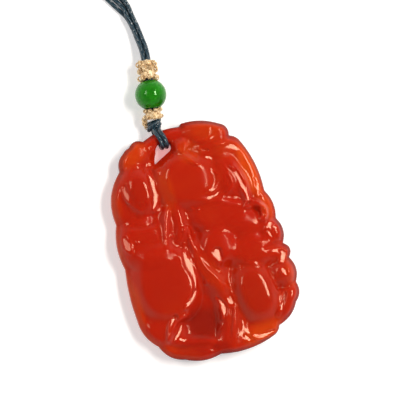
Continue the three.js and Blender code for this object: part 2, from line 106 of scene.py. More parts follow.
# %% The camera
FRAME_WIDTH = 104.3 * MM
FRAME_MIDDLE = Vector((3.29, 8.30, 4.5)) * MM
PHOTO_TURN = math.radians(16)
CAMERA_DISTANCE = 0.42
CAMERA_LEAN = math.radians(6)
LEAN_HEADING = math.radians(200)
SENSOR = 36.0
PHOTO_PIXELS = 410
PIXEL = FRAME_WIDTH / MM / PHOTO_PIXELS


def photo_direction(right, up):
    """A direction of the photograph's own right and up, in the plaque's frame."""
    cosine, sine = math.cos(PHOTO_TURN), math.sin(PHOTO_TURN)
    return Vector((right * cosine + up * sine, -right * sine + up * cosine, 0))


def matrix_of(right, up, back, place):
    turned = Matrix((right, up, back)).transposed().to_4x4()
    turned.translation = place
    return turned


def make_camera():
    data = bpy.data.cameras.new("camera")
    camera = add_object("camera", data)
    aside = photo_direction(math.cos(LEAN_HEADING), math.sin(LEAN_HEADING))
    back = Vector((0, 0, math.cos(CAMERA_LEAN))) + aside * math.sin(CAMERA_LEAN)
    up = photo_direction(0, 1)
    up = (up - back * up.dot(back)).normalized()
    right = up.cross(back)
    camera.matrix_world = matrix_of(right, up, back, FRAME_MIDDLE + back * CAMERA_DISTANCE)
    data.sensor_width = SENSOR
    data.lens = SENSOR * CAMERA_DISTANCE / FRAME_WIDTH
    data.clip_start = 0.01
    bpy.context.scene.camera = camera
    return camera


camera = make_camera()
print("lens", round(camera.data.lens, 1), "mm at", CAMERA_DISTANCE, "m")

# %% [markdown]
# The light in the photograph comes from the right and from above, through something
# like a tall window: polished stone mirrors it as long narrow glints on every shoulder
# that turns to the right. A big pale area lamp there makes the same glints, and a smaller
# one from the upper left fills the shade. The world is pale near the horizon and darker
# overhead, so that the polished tops keep their colour.

# %% The lamps and the world
LAMP_TARGET = Vector((0, 0, 0.005))


def add_window(name, place, size, power, tint):
    """An area lamp that looks at the plaque, so far right, up and high in the photograph, in metres."""
    data = bpy.data.lights.new(name, "AREA")
    data.shape = "RECTANGLE"
    data.size, data.size_y = size
    data.energy = power
    data.color = tint
    lamp = add_object(name, data)
    right, up, height = place
    place = photo_direction(right, up) + Vector((0, 0, height))
    back = (place - LAMP_TARGET).normalized()
    side = photo_direction(0, 1)
    up_axis = (side - back * side.dot(back)).normalized()
    lamp.matrix_world = matrix_of(up_axis.cross(back), up_axis, back, place)
    print(name, "shines with", power, "W")
    return lamp


WINDOWS = {
    "right": add_window("window_right", (0.29, 0.14, 0.52), (0.13, 0.32), 3.3, (1.0, 0.95, 0.88)),
    "left": add_window("window_left", (-0.38, 0.14, 0.42), (0.12, 0.24), 0.85, (1.0, 0.97, 0.93)),
}

world = bpy.data.worlds.new("pale_room")
bpy.context.scene.world = world
world.use_nodes = True
room = world.node_tree
room.nodes["Background"].inputs["Color"].default_value = (1.0, 0.99, 0.98, 1)
direction = room.nodes.new("ShaderNodeSeparateXYZ")
room.links.new(room.nodes.new("ShaderNodeTexCoord").outputs["Generated"], direction.inputs[0])
height = room.nodes.new("ShaderNodeMapRange")
for name, value in (("From Min", 0.12), ("From Max", 0.8), ("To Min", 0.88), ("To Max", 0.15)):
    height.inputs[name].default_value = value
room.links.new(direction.outputs["Z"], height.inputs["Value"])
room.links.new(height.outputs["Result"], room.nodes["Background"].inputs["Strength"])
bpy.context.scene.view_settings.view_transform = "Standard"


# %% [markdown]
# ## Shader maths in plain Python
# A material is a small calculation. The class Value wraps one socket, so that + - * /
# add Math nodes, and Recipe adds any other node in one call.

# %% Values in a material
class Value:
    def __init__(self, recipe, socket):
        self.recipe = recipe
        self.socket = socket

    def _math(self, operation, first, second):
        node = self.recipe.node("ShaderNodeMath", {"operation": operation}, {0: first, 1: second})
        return Value(self.recipe, node.outputs[0])

    def __add__(self, other):
        return self._math("ADD", self, other)

    def __radd__(self, other):
        return self._math("ADD", other, self)

    def __sub__(self, other):
        return self._math("SUBTRACT", self, other)

    def __rsub__(self, other):
        return self._math("SUBTRACT", other, self)

    def __mul__(self, other):
        return self._math("MULTIPLY", self, other)

    def __rmul__(self, other):
        return self._math("MULTIPLY", other, self)

    def __truediv__(self, other):
        return self._math("DIVIDE", self, other)

    def clamped(self):
        node = self.recipe.node("ShaderNodeClamp", {}, {"Value": self})
        return Value(self.recipe, node.outputs[0])


# %% Recipes for materials
class Recipe:
    """One material's node tree, with its Principled shader ready."""

    def __init__(self, name):
        self.material = bpy.data.materials.new(name)
        self.material.use_nodes = True
        self.tree = self.material.node_tree
        self.shader = self.tree.nodes["Principled BSDF"]
        print("the material", self.material.name, "is made")

    def node(self, kind, settings=None, inputs=None):
        made = self.tree.nodes.new(kind)
        for name, value in (settings or {}).items():
            if name == "stops":
                self._set_stops(made.color_ramp, value)
            else:
                setattr(made, name, value)
        for key, value in (inputs or {}).items():
            self.feed(made.inputs[key], value)
        return made

    def _set_stops(self, ramp, stops):
        while len(ramp.elements) < len(stops):
            ramp.elements.new(1)
        for element, (position, colour) in zip(ramp.elements, stops):
            element.position = position
            element.color = (*colour, 1)

    def feed(self, socket, value):
        if isinstance(value, Value):
            self.tree.links.new(value.socket, socket)
        elif isinstance(value, bpy.types.NodeSocket):
            self.tree.links.new(value, socket)
        else:
            socket.default_value = value

    def set(self, **sockets):
        """What is the same all over goes straight on the shader, and what varies is linked."""
        for name, value in sockets.items():
            self.feed(self.shader.inputs[name.replace("_", " ")], value)

    def place(self):
        return self.node("ShaderNodeTexCoord").outputs["Object"]

    def noise(self, scale, detail):
        node = self.node("ShaderNodeTexNoise", {},
                         {"Scale": scale, "Detail": detail, "Vector": self.place()})
        return Value(self, node.outputs["Fac"])

    def attribute(self, name):
        node = self.node("ShaderNodeAttribute", {"attribute_name": name})
        return Value(self, node.outputs["Fac"])

    def mix(self, share, first, second):
        node = self.node("ShaderNodeMix", {"data_type": "RGBA"})
        for key, value in (("Factor", share), ("A", first), ("B", second)):
            self.feed(node.inputs[key], (*value, 1) if isinstance(value, tuple) else value)
        return node.outputs["Result"]

    def ramp(self, share, stops):
        return self.node("ShaderNodeValToRGB", {"stops": stops}, {"Fac": share}).outputs["Color"]

    def bump(self, height, distance, strength):
        node = self.node("ShaderNodeBump", {},
                         {"Height": height, "Distance": distance, "Strength": strength})
        self.set(Normal=node.outputs["Normal"])


def from_screen(red, green, blue):
    """A colour as a screen shows it, 0 to 255, as the shader's linear colour."""
    shares = (red / 255, green / 255, blue / 255)
    return tuple(s / 12.92 if s <= 0.04045 else ((s + 0.055) / 1.055) ** 2.4 for s in shares)


# %% [markdown]
# The floor is pale paper. Through the pierced hole it shows pink, because the stone's thin
# walls pass their light on to it. A renderer's shadows leave such a light out, so the
# paper glows pink there. It also shines weakly all over, so that the shadows on it are as
# faint as the photograph's.

# %% The floor
FLOOR_REACH = 1200
GLOW_PLACE = (-3.0 * MM, 24.0 * MM, 0.0)
GLOW_REACH = 7 * MM
WEAK_SHINE = (0.4, 0.4, 0.41)


def make_floor():
    bm = bmesh.new()
    bmesh.ops.create_grid(bm, x_segments=1, y_segments=1, size=FLOOR_REACH)
    floor = add_mesh("floor", bm)
    paper = Recipe("pale_paper")
    away = paper.node("ShaderNodeVectorMath", {"operation": "DISTANCE"},
                      {0: paper.place(), 1: GLOW_PLACE}).outputs["Value"]
    glow = (1 - Value(paper, away) / GLOW_REACH).clamped()
    shine = paper.mix(glow, WEAK_SHINE, from_screen(237, 172, 172))
    paper.set(Base_Color=(0.84, 0.84, 0.845, 1), Roughness=0.7, Specular_IOR_Level=0.25,
              Emission_Color=shine, Emission_Strength=0.8)
    floor.data.materials.append(paper.material)


make_floor()

# %% [markdown]
# ## The plaque's outline
# The rim is a chain of shallow arcs that meet in notches, where one leaf or lobe ends and
# the next begins. The chain is drawn in sixtieths of the plaque's length, clockwise:
# each entry is where an arc ends and how far it swells out of its chord. The pierced hole
# is drawn in the same way.

# %% The outline and the hole
DRAWN_LENGTH = 59.9
UNIT = PLAQUE_SIZE.y / MM / DRAWN_LENGTH
OUTLINE_STEP = 0.5
HOLE_STEP = 0.4

SCALLOPS = [
    (2.8, 29.2, 0.85), (3.2, 29.9, 0), (12.5, 27.5, 0.75), (14.4, 23.7, 0.95),
    (16.5, 22.2, 0.25), (19.3, 7.7, 1.0), (20.2, 0.1, 0.85), (20.2, -6.5, 1.0),
    (20.7, -10.4, 1.15), (20.7, -16.9, 1.0), (19.3, -21.8, 0.9), (13.5, -26.4, 0.85),
    (11.8, -28.4, 0.3), (-2.8, -29.2, 1.15), (-12, -28.1, 0.95), (-17.5, -23.2, 1.05),
    (-20.9, -15.4, 0.95), (-20.3, -2, 0.45), (-19.4, 9.5, 0.95), (-14.9, 22.3, 1.75),
    (-12.7, 26.6, 0.7), (-11.1, 27.4, 0.2), (-7.2, 28, 0.95),
]
HOLE_EDGE = [
    (-5.8, 21.7, 0), (-4.9, 24.2, 0.15), (-3.8, 26.2, 0.3), (-1.7, 26.3, 0.15),
    (-0.8, 25.3, 0.25), (-1.2, 24.0, 0.2),
]


def chain_of_arcs(entries, spacing):
    """Points along the arcs, in millimetres."""
    ends = np.array([entry[:2] for entry in entries]) * UNIT
    points = []
    for index, (_, _, swell) in enumerate(entries):
        start, chord = ends[index - 1], ends[index] - ends[index - 1]
        length = float(np.hypot(*chord))
        outward = np.array((-chord[1], chord[0])) / length
        count = max(1, round(length / spacing))
        for share in np.arange(count) / count:
            points.append(start + chord * share + outward * 4 * share * (1 - share) * swell * UNIT)
    return np.array(points)


drawn = chain_of_arcs(SCALLOPS, OUTLINE_STEP)
DRAWN_MIDDLE = (drawn.min(axis=0) + drawn.max(axis=0)) / 2
OUTLINE = drawn - DRAWN_MIDDLE
HOLE = chain_of_arcs(HOLE_EDGE, HOLE_STEP) - DRAWN_MIDDLE
print("the outline measures", np.round(np.ptp(OUTLINE, axis=0), 2), "mm")

# %% [markdown]
# Three questions come up again and again: is a place inside a closed line, how far is it
# from a line, and what is the line like at the nearest place on it. The last is counted in
# stretches of the line: 2.5 is the middle of its third stretch.

# %% Inside and beside a line
def is_inside(loop, xy):
    """True for each point that the closed loop surrounds."""
    inside = np.zeros(len(xy), bool)
    for a, b in zip(loop, np.roll(loop, -1, axis=0)):
        if a[1] == b[1]:
            continue
        crosses = (a[1] > xy[:, 1]) != (b[1] > xy[:, 1])
        inside ^= crosses & (xy[:, 0] < (b[0] - a[0]) * (xy[:, 1] - a[1]) / (b[1] - a[1]) + a[0])
    return inside


def beside(line, half_widths, reach, xy):
    """The points within reach of the line: which they are, how many half widths they lie
    away from it, and how many stretches along it."""
    low, high = line.min(axis=0) - reach, line.max(axis=0) + reach
    which = np.flatnonzero(np.all((xy > low) & (xy < high), axis=1))
    close = xy[which]
    away = np.full(len(which), np.inf)
    way = np.zeros(len(which))
    for i, (a, b) in enumerate(zip(line, line[1:])):
        along = np.clip((close - a) @ (b - a) / max(1e-12, float((b - a) @ (b - a))), 0, 1)
        distance = np.hypot(*(close - a - along[:, None] * (b - a)).T)
        distance /= half_widths[i] + (half_widths[i + 1] - half_widths[i]) * along
        nearer = distance < away
        away[nearer] = distance[nearer]
        way[nearer] = i + along[nearer]
    return which, away, way


def read_along(values, way):
    """What the values of the line's points come to, so many stretches along it."""
    step = np.minimum(way.astype(int), len(values) - 2)
    share = way - step
    return ((1 - share) * values.T[..., step] + share * values.T[..., step + 1]).T


def nearest_on(loop, xy):
    """Each point's distance to the closed loop, and the loop's nearest point."""
    closed = np.vstack([loop, loop[:1]])
    _, away, way = beside(closed, np.ones(len(closed)), np.inf, xy)
    return away, read_along(closed, way)


print("the hole measures", np.round(np.ptp(HOLE, axis=0), 2), "mm,",
      "and its nearest point is", round(nearest_on(OUTLINE, HOLE)[0].min(), 2), "mm from the outline")


# %% Curves, widths and soft steps
def smooth_curve(points, steps):
    """A smooth curve through a few points drawn in sixtieths, in millimetres."""
    nodes = np.array(points, float) * UNIT - DRAWN_MIDDLE
    padded = np.vstack([2 * nodes[0] - nodes[1], nodes, 2 * nodes[-1] - nodes[-2]])
    line = []
    for i in range(len(nodes) - 1):
        a, b, c, d = padded[i:i + 4]
        for t in np.arange(steps) / steps:
            line.append(0.5 * (2 * b + (c - a) * t + (2 * a - 5 * b + 4 * c - d) * t ** 2
                               + (3 * b - a - 3 * c + d) * t ** 3))
    return np.array([*line, nodes[-1]])


def spread(widths, line):
    """A few widths, spread evenly over the line's points."""
    return np.interp(np.linspace(0, 1, len(line)), np.linspace(0, 1, len(widths)), widths)


def eased(share):
    """Goes from 0 to 1 with a soft start and a soft end."""
    s = np.clip(share, 0, 1)
    return s * s * (3 - 2 * s)


print("a soft step goes", eased(np.linspace(0, 1, 5)))

# %% [markdown]
# ## The carving
# A carver leaves plump forms with broad tops and rounded shoulders, and cuts valleys
# between them. Two kinds of form are enough: cushions, which are ovals, and bars, which
# follow a curve. The carved height at a place is the highest form there, with a soft
# crease where two of them meet.

# %% The carved forms
# Each cushion: place, half sizes, turn in degrees, height as a share of the thickness,
# and the width of its rounded shoulder. Places and sizes are in sixtieths of the length.
CUSHIONS = {
    "top left leaf": ((-11.2, 25.2), (4.9, 3.7), 24, 0.72, 2.4),
    "upper left husk": ((-14.4, 15.0), (5.8, 7.8), 8, 0.76, 2.6),
    "upper left fruit": ((-11.5, 15.8), (4.7, 7.1), 3, 0.96, 3.2),
    "left gourd neck": ((-14.4, 3.4), (7.0, 6.6), 8, 0.88, 3.2),
    "left gourd body": ((-11.2, -8.0), (8.7, 10.6), -4, 0.98, 2.9),
    "lower left fold": ((-15.4, -19.6), (5.6, 4.4), -38, 0.76, 3.4),
    "bottom left leaf": ((-10.6, -26.0), (8.8, 3.6), -14, 0.64, 1.8),
    "stem ground": ((-6.4, 5.0), (4.6, 6.4), 8, 0.76, 2.6),
    "vine ground": ((-0.4, -7.5), (4.6, 8.0), 18, 0.76, 2.8),
    "centre fruit": ((3.6, -2.6), (5.6, 5.8), -10, 0.93, 3.0),
    "middle leaf": ((6.6, 4.9), (9.6, 5.2), -17, 0.86, 2.2),
    "upper centre fruit": ((0.6, 15.6), (8.2, 8.2), 0, 0.98, 4.0),
    "fruit husk": ((5.4, 13.6), (7.6, 7.2), -20, 0.84, 2.4),
    "fruit stalk": ((1.6, 24.0), (2.6, 2.2), 0, 0.84, 1.4),
    "top bridge": ((-1.6, 27.2), (5.6, 3.0), 5, 0.62, 1.6),
    "top right leaf": ((9.0, 25.6), (6.8, 4.2), -13, 0.8, 2.4),
    "top right fold": ((9.4, 21.4), (6.4, 3.0), -6, 0.82, 2.0),
    "right leaf": ((15.8, 14.4), (4.0, 9.4), 6, 0.72, 2.4),
    "right leaf inner": ((11.4, 13.6), (3.6, 7.2), 8, 0.88, 2.2),
    "right middle": ((12.4, 0.2), (6.6, 4.2), -14, 0.82, 2.6),
    "right edge lobe 1": ((18.7, 4.0), (2.6, 4.2), 0, 0.68, 1.6),
    "right edge lobe 2": ((18.1, -2.8), (3.4, 3.6), 0, 0.82, 2.0),
    "right edge lobe 3": ((18.7, -8.6), (3.1, 2.5), 0, 0.76, 1.6),
    "right edge lobe 4": ((18.0, -13.6), (3.7, 3.4), 0, 0.84, 2.0),
    "right edge lobe 5": ((17.0, -20.8), (3.0, 5.2), -32, 0.78, 1.8),
    "lower right neck": ((11.8, -6.0), (7.2, 4.8), -14, 0.88, 2.8),
    "lower right gourd": ((9.8, -16.4), (6.0, 8.6), 6, 0.97, 3.2),
    "bottom right leaf": ((8.8, -26.4), (5.8, 3.2), 8, 0.66, 1.8),
    "left gourd waist": ((-12.6, -0.8), (6.4, 4.2), 0, 0.94, 3.0),
}
# Each bar: its points, its half width at the start, middle and end, and its height.
BARS = {
    "vine": (((-3, 3.4), (-2.4, -2), (-0.6, -8), (1.6, -13)), (1.4, 2.4, 2.6), 0.84),
    "vine foot": (((0.6, -10.6), (1.8, -16), (1.9, -22), (0.6, -28.5)), (2.4, 3.4, 4.4), 0.76),
    "stem left": (((-6.6, 9.4), (-8, 4.6), (-9, 0)), (1.4, 1.9, 1.5), 0.86),
    "stem right": (((-4.0, 10), (-3.8, 6), (-5.2, 1.6)), (1.8, 2.4, 1.8), 0.82),
    "upper stem": (((-6.0, 20), (-6.2, 14), (-5.2, 9)), (1.2, 1.7, 1.4), 0.74),
    "right leaf roll": (((12.6, 16.4), (14.3, 12), (14.2, 5.8)), (0.9, 1.5, 1.1), 0.9),
    "right curl": (((13.2, 5.2), (15.8, 5.4), (17.5, 3.2), (16.8, 0.8)), (0.9, 1.2, 1.0), 0.9),
    "left edge roll": (((-18.9, -4), (-20, -9.5), (-19.6, -15)), (1.2, 1.7, 1.2), 0.62),
    "fold ridge": (((-9, -17.4), (-12.2, -18), (-14.9, -22)), (1.0, 1.4, 0.9), 0.88),
}
# Each hollow: place, half sizes, turn, and how deep it presses the valley floor.
HOLLOWS = {
    "dark hollow": ((-5, -20.2), (6.2, 6.0), 10, 0.7),
    "hollow at the hole": ((-4.2, 22.6), (2.6, 2.4), 30, 1.4),
    "pocket in the curl": ((15.6, 2.6), (1.5, 2.0), 0, 1.6),
}
print(len(CUSHIONS), "cushions,", len(BARS), "bars and", len(HOLLOWS), "hollows")

# %% [markdown]
# An oval's height rises from the valley's foot over its shoulder and then gently to its
# middle. A bar is as round across as the back of a spoon. Hollows press the valley's floor
# down before any form stands on it.

# %% The height of the carved forms
THICKNESS = 9.0
GROUND_HEIGHT = 5.4
FOOT_HEIGHT = 4.8
VALLEY_SOFTNESS = 2.2
DOME_SHARE = 0.25
HOLLOW_STEEPNESS = 1.4
OVAL_POWER = 2.3
SHOULDER_POWER = 2.2
BAR_STEPS = 8
EDGE_HEIGHT = 3.6
EDGE_ROUND = 1.6
HOLE_ROUND = 1.2
HOLE_DROP = 0.8


def rounded_shoulder(share):
    """Rises from 0 to 1 and levels off there."""
    s = np.clip(share, 0, 1)
    return 1 - (1 - s) ** SHOULDER_POWER


def soft_max(a, b):
    """The higher of two heights, raised a little where they are nearly the same."""
    overlap = np.maximum(VALLEY_SOFTNESS - np.abs(a - b), 0) / VALLEY_SOFTNESS
    return np.maximum(a, b) + overlap * overlap * VALLEY_SOFTNESS / 4


def oval_depth(xy, at, half, turn):
    """How far inside an oval each point lies: 1 at its middle, 0 on its edge."""
    across, along = (xy - (np.array(at) * UNIT - DRAWN_MIDDLE)).T
    cosine, sine = math.cos(math.radians(turn)), math.sin(math.radians(turn))
    u = np.abs(cosine * across + sine * along) / (half[0] * UNIT)
    v = np.abs(-sine * across + cosine * along) / (half[1] * UNIT)
    return 1 - (u ** OVAL_POWER + v ** OVAL_POWER) ** (1 / OVAL_POWER)


def bar_share(xy, points, widths):
    """How near each point is to the bar's line: 0 on it, 1 at its edge."""
    line = smooth_curve(points, BAR_STEPS)
    half_widths = spread(widths, line) * UNIT
    share = np.full(len(xy), np.inf)
    which, away, _ = beside(line, half_widths, half_widths.max(), xy)
    share[which] = away
    return share


def front_height(xy):
    """The carved front's height over the back at each point, in millimetres."""
    height = np.full(len(xy), GROUND_HEIGHT)
    for at, half, turn, depth in HOLLOWS.values():
        height -= depth * rounded_shoulder(oval_depth(xy, at, half, turn) * HOLLOW_STEEPNESS)
    for at, half, turn, top, shoulder in CUSHIONS.values():
        depth = oval_depth(xy, at, half, turn)
        rounded = (1 - DOME_SHARE) * rounded_shoulder(depth * min(half) / shoulder)
        rounded += DOME_SHARE * rounded_shoulder(depth)
        rise = FOOT_HEIGHT + (top * THICKNESS - FOOT_HEIGHT) * rounded
        height = soft_max(height, np.where(depth > 0, rise, 0))
    for points, widths, top in BARS.values():
        share = bar_share(xy, points, widths)
        rise = FOOT_HEIGHT + (top * THICKNESS - FOOT_HEIGHT) * np.clip(1 - share * share, 0, 1)
        height = soft_max(height, np.where(share < 1, rise, 0))
    return height


def rounded_rim(height, from_edge, from_hole):
    """The front rounds over towards the outline and a little towards the hole."""
    share = np.clip(from_edge / EDGE_ROUND, 0, 1)
    rounded = EDGE_HEIGHT + (height - EDGE_HEIGHT) * np.sqrt(1 - (1 - share) ** 2)
    return rounded - HOLE_DROP * (1 - rounded_shoulder(from_hole / HOLE_ROUND))


print("the middle stands", np.round(front_height(np.zeros((1, 2)))[0], 2), "mm high")

# %% [markdown]
# ## The fine carving
# On the melted main forms lie fine things: the rolled edges of leaves, the flutes of the
# vine, small plump beads, and grooves. They are what the window's light is mirrored in.
# A line is a low rounded ridge that thins out towards both ends; a groove is the same
# with a negative height.

# %% Fine ridges, grooves and small beads
# Each line: its points, its half width and its height, in sixtieths and millimetres.
LINES = [
    (((-6.5, 26.4), (-6, 24.2)), 0.5, 0.25),
    (((-14.6, 20), (-15.3, 17), (-15, 14), (-13.4, 11.8), (-11.8, 10.8)), 0.6, 0.25),
    (((-13.7, 20.6), (-12.2, 22), (-11, 22.4), (-8.1, 21.8)), 0.5, 0.2),
    (((-12.2, 9.2), (-10.5, 8.7), (-8.3, 10)), 0.5, 0.14),
    (((-16.4, 8.1), (-13, 7.2), (-9.8, 7.4)), 0.8, -0.45),
    (((-7.3, 7.4), (-8.2, 4.5), (-9.5, 0.8)), 0.45, 0.25),
    (((-6, 6.8), (-6.6, 4.6), (-7.6, 1.8)), 0.45, 0.2),
    (((-17.2, -22.4), (-12, -25), (-6, -26), (-3.2, -27.4)), 0.8, -0.45),
    (((-3.8, 2.4), (-3.6, 3.5), (-2.9, 4.2), (-2.2, 3.7), (-2.0, 2.6)), 0.4, 0.3),
    (((-3.1, 2.6), (-3.4, 0), (-3.3, -3)), 0.5, -0.3),
    (((-2.2, -3.4), (-0.9, -7), (0.9, -9.8), (2.1, -13)), 0.45, 0.3),
    (((-3.1, -4), (-2.2, -8), (-0.9, -12)), 0.5, 0.2),
    (((1.1, -6.6), (2.1, -7.8), (3.1, -9.4)), 0.5, 0.25),
    (((2.5, -12), (3.5, -14), (4.2, -17)), 0.45, 0.3),
    (((3.8, -17.6), (3.1, -20.5), (0.9, -25.4)), 0.45, 0.3),
    (((2.5, -18), (2, -21), (0.2, -26)), 0.4, -0.3),
    (((-0.5, -21.8), (-2.2, -23.5)), 0.45, 0.25),
    (((7.3, 17), (8.5, 14.5), (7.2, 11.7), (4.8, 10.6)), 0.6, 0.3),
    (((10.7, 15.6), (11.5, 13), (11.2, 11), (8, 8.9)), 0.55, 0.28),
    (((1.3, 22.4), (2.8, 20), (4.7, 18.3)), 0.55, 0.35),
    (((-0.2, 24.4), (1.4, 22.9), (2.8, 24.4), (2, 26.6)), 0.5, 0.3),
    (((3.0, 23.6), (4.2, 22), (5.4, 20.2)), 0.7, -0.4),
    (((5, 24.8), (7, 24.1), (10.2, 24.5)), 0.45, 0.25),
    (((9.5, 22.4), (12, 22), (14, 22.9)), 0.5, 0.28),
    (((-0.4, 10.2), (5, 9.2), (10, 7.2), (14, 5.6)), 0.8, 0.2),
    (((13.3, 5.5), (15.5, 5.4), (17.4, 3.2), (16.7, 0.8)), 0.7, 0.35),
    (((13.8, 5), (15.2, 2.5), (16, 0.6)), 0.45, 0.3),
    (((14.7, -6.5), (17.2, -6.2), (19.9, -6.3)), 0.5, -0.35),
    (((9, -8.4), (11.6, -9.6), (13.7, -11)), 0.5, 0.25),
    (((13.7, -10.8), (14.1, -14.5), (15.4, -19.2)), 0.5, 0.3),
    (((15.6, -17.2), (18.4, -17.5), (20.4, -17.2)), 0.5, -0.35),
]
# Each bead: place, half sizes, turn and height.
BEADS = [
    ((-18.2, 4.2), (1.3, 2.3), 0, 0.2), ((18, -0.8), (1.3, 1.1), 25, 0.25),
    ((18.5, -13.7), (1.7, 1.6), 0, 0.35), ((-1.8, -10.7), (0.8, 0.8), 0, 0.25),
    ((12.4, 15.6), (0.6, 0.6), 0, 0.3), ((-15.7, 3.8), (0.5, 0.6), 0, 0.25),
    ((-6.7, 2.9), (0.6, 0.7), 0, 0.3), ((7.6, -9.3), (0.5, 0.5), 0, 0.2),
    ((-0.1, 8.2), (0.5, 0.5), 0, 0.25), ((1.3, 7.7), (0.5, 0.5), 0, 0.2),
    ((8.8, -27.6), (1.6, 0.9), 10, 0.3),
]
print(len(LINES), "lines and", len(BEADS), "beads")

# %% What the fine forms add
LINE_STEPS = 6
LINE_REACH = 3
END_THINNING = 5
END_SHARE = 0.25
BEAD_STEEPNESS = 1.2


def fine_relief(xy):
    """What the lines and beads add to the height at each point."""
    added = np.zeros(len(xy))
    for points, width, rise in LINES:
        line = smooth_curve(points, LINE_STEPS)
        half_widths = np.full(len(line), width * UNIT)
        which, away, way = beside(line, half_widths, LINE_REACH * width, xy)
        share = way / (len(line) - 1)
        ends = np.clip(np.minimum(share, 1 - share) * END_THINNING + END_SHARE, 0, 1)
        added[which] += rise * ends * np.exp(-(away ** 2))
    for at, half, turn, rise in BEADS:
        added += rise * rounded_shoulder(oval_depth(xy, at, half, turn) * BEAD_STEEPNESS)
    return added


print("the largest fine form adds", fine_relief(OUTLINE * 0.8).max().round(2), "mm")

# %% [markdown]
# Where the wheel has ground a narrow flat on a shoulder, the whole flat mirrors the window
# at once and shows as a broad cream band. Such a flat is easiest to find from where it
# shines: it lies where the photograph shows the band, and its tilt is halfway between
# the way to the camera and the way to the window.

# %% Ground flats
# Each flat: its points as pixels of the photograph, its half width in pixels at the
# start, middle and end, and the window that it mirrors.
FLATS = [
    (((148, 169), (151, 178), (153, 188), (155.5, 199), (156.5, 208)), (1.4, 2.3, 3.1), "right"),
    (((124.5, 187), (126, 195), (129, 202)), (1.2, 2.2, 1.2), "left"),
    (((125, 239), (127.5, 247), (131, 253)), (1.4, 3.0, 1.8), "left"),
    (((184.6, 244), (185, 252.5), (186.5, 261.5), (190.6, 270), (194.4, 277.5), (195.8, 287)),
     (1.2, 2.6, 1.2), "right"),
    (((195.2, 291), (193, 297.5), (188, 305), (185, 309)), (1.4, 1.8, 0.8), "right"),
    (((217, 252), (219, 258), (219.6, 265)), (3.2, 2.4, 0.8), "right"),
    (((217.5, 298), (223.5, 305), (224.6, 312.5), (223, 319)), (1.0, 2.8, 1.0), "right"),
    (((236, 171), (240, 180), (243.5, 188), (246, 196), (248, 201)), (1.2, 2.5, 2.8), "right"),
    (((256, 177), (259, 186), (258, 195)), (0.8, 1.6, 0.8), "right"),
    (((248, 204), (254, 203.5), (260, 207.5)), (1.2, 2.6, 1.6), "left"),
    (((262, 209), (263.5, 214), (262, 219)), (1.4, 1.8, 1.0), "right"),
    (((271, 222), (269, 226), (266, 228)), (1.4, 2.4, 1.0), "right"),
    (((268.5, 231), (271, 236)), (1.2, 1.6, 1.0), "right"),
    (((282, 251), (285, 256), (280, 261)), (1.4, 2.6, 1.2), "right"),
    (((281.5, 269), (284, 271), (286, 274)), (1.6, 2.4, 1.4), "right"),
    (((286, 293), (283, 305), (279, 315)), (0.8, 1.2, 1.8), "right"),
    (((175.5, 318), (170.6, 326), (168, 338)), (2.0, 1.8, 0.7), "right"),
    (((182.5, 325), (179, 334), (175.5, 341)), (1.2, 1.6, 0.8), "right"),
    (((242.5, 320), (245, 327.5), (248, 333)), (0.8, 1.2, 1.2), "right"),
    (((246, 336), (250, 341)), (1.2, 1.6, 1.2), "right"),
    (((254, 336), (262, 337), (275, 332)), (1.4, 2.6, 1.6), "right"),
    (((199, 148), (203, 150), (208, 150)), (0.8, 1.4, 0.8), "right"),
    (((211.5, 127), (210.5, 133), (206, 138)), (0.7, 1.1, 0.7), "right"),
]
print(len(FLATS), "flats")

# %% Grinding the flats
FLAT_LEVEL = 8.0
DEEPEST_CUT = 0.7
HIGHEST_FILL = 0.35
FLAT_WIDENING = 1.15
FLAT_SHARE_CARVED = 0.15
FLAT_FADES_AT = 1.7
FLAT_FADE = 0.8
FOUND_WITHIN = 0.5


def seen_at(pixels):
    """Places on the plaque, in millimetres, that the camera sees at those pixels."""
    matrix = np.array(camera.matrix_world)
    right, up, back, eye = matrix[:3, 0], matrix[:3, 1], matrix[:3, 2], matrix[:3, 3] / MM
    middle = PHOTO_PIXELS / 2
    across = (np.array(pixels, float) - middle) / PHOTO_PIXELS * SENSOR / camera.data.lens
    rays = across[:, :1] * right - across[:, 1:] * up - back
    return (eye + rays * ((FLAT_LEVEL - eye[2]) / rays[:, 2:]))[:, :2]


def mirror_slope(xy, window):
    """How a surface at that place rises along x and y where it mirrors the window."""
    place = np.array([*xy, FLAT_LEVEL]) * MM
    to_camera = np.array(camera.matrix_world.translation) - place
    to_window = np.array(WINDOWS[window].matrix_world.translation) - place
    halfway = to_camera / np.linalg.norm(to_camera) + to_window / np.linalg.norm(to_window)
    return -halfway[:2] / halfway[2]


def ground_flats(xy, height):
    """The heights with every flat ground into them."""
    height = height.copy()
    for pixels, widths, window in FLATS:
        line = smooth_curve((seen_at(pixels) + DRAWN_MIDDLE) / UNIT, LINE_STEPS)
        half_widths = FLAT_WIDENING * spread(widths, line) * PIXEL
        slope = mirror_slope(line.mean(axis=0), window)
        found = []
        for point in line:
            distance = np.hypot(*(xy - point).T)
            found.append(np.average(height, weights=np.exp(-((distance / FOUND_WITHIN) ** 2))))
        tilted = (line - line.mean(axis=0)) @ slope + np.mean(found)
        level = tilted + FLAT_SHARE_CARVED * (np.array(found) - tilted)
        which, away, way = beside(line, half_widths, 2 * half_widths.max(), xy)
        target = read_along(level, way) + (xy[which] - read_along(line, way)) @ slope
        target = np.clip(target, height[which] - DEEPEST_CUT, height[which] + HIGHEST_FILL)
        height[which] += (target - height[which]) * eased((FLAT_FADES_AT - away) / FLAT_FADE)
    return height


print("a flat near the middle rises by", np.round(mirror_slope((0, 0), "right"), 2), "along x and y")

# %% [markdown]
# ## The plaque as a mesh
# The blank is a fine grid, cut to the outline and the hole, whose rim is drawn on to both.
# The front takes its carved height, a copy is laid down as the flat back, and a wall is
# bridged between them. Smoothing the wall and the rim afterwards is what polishing does
# to the stone.

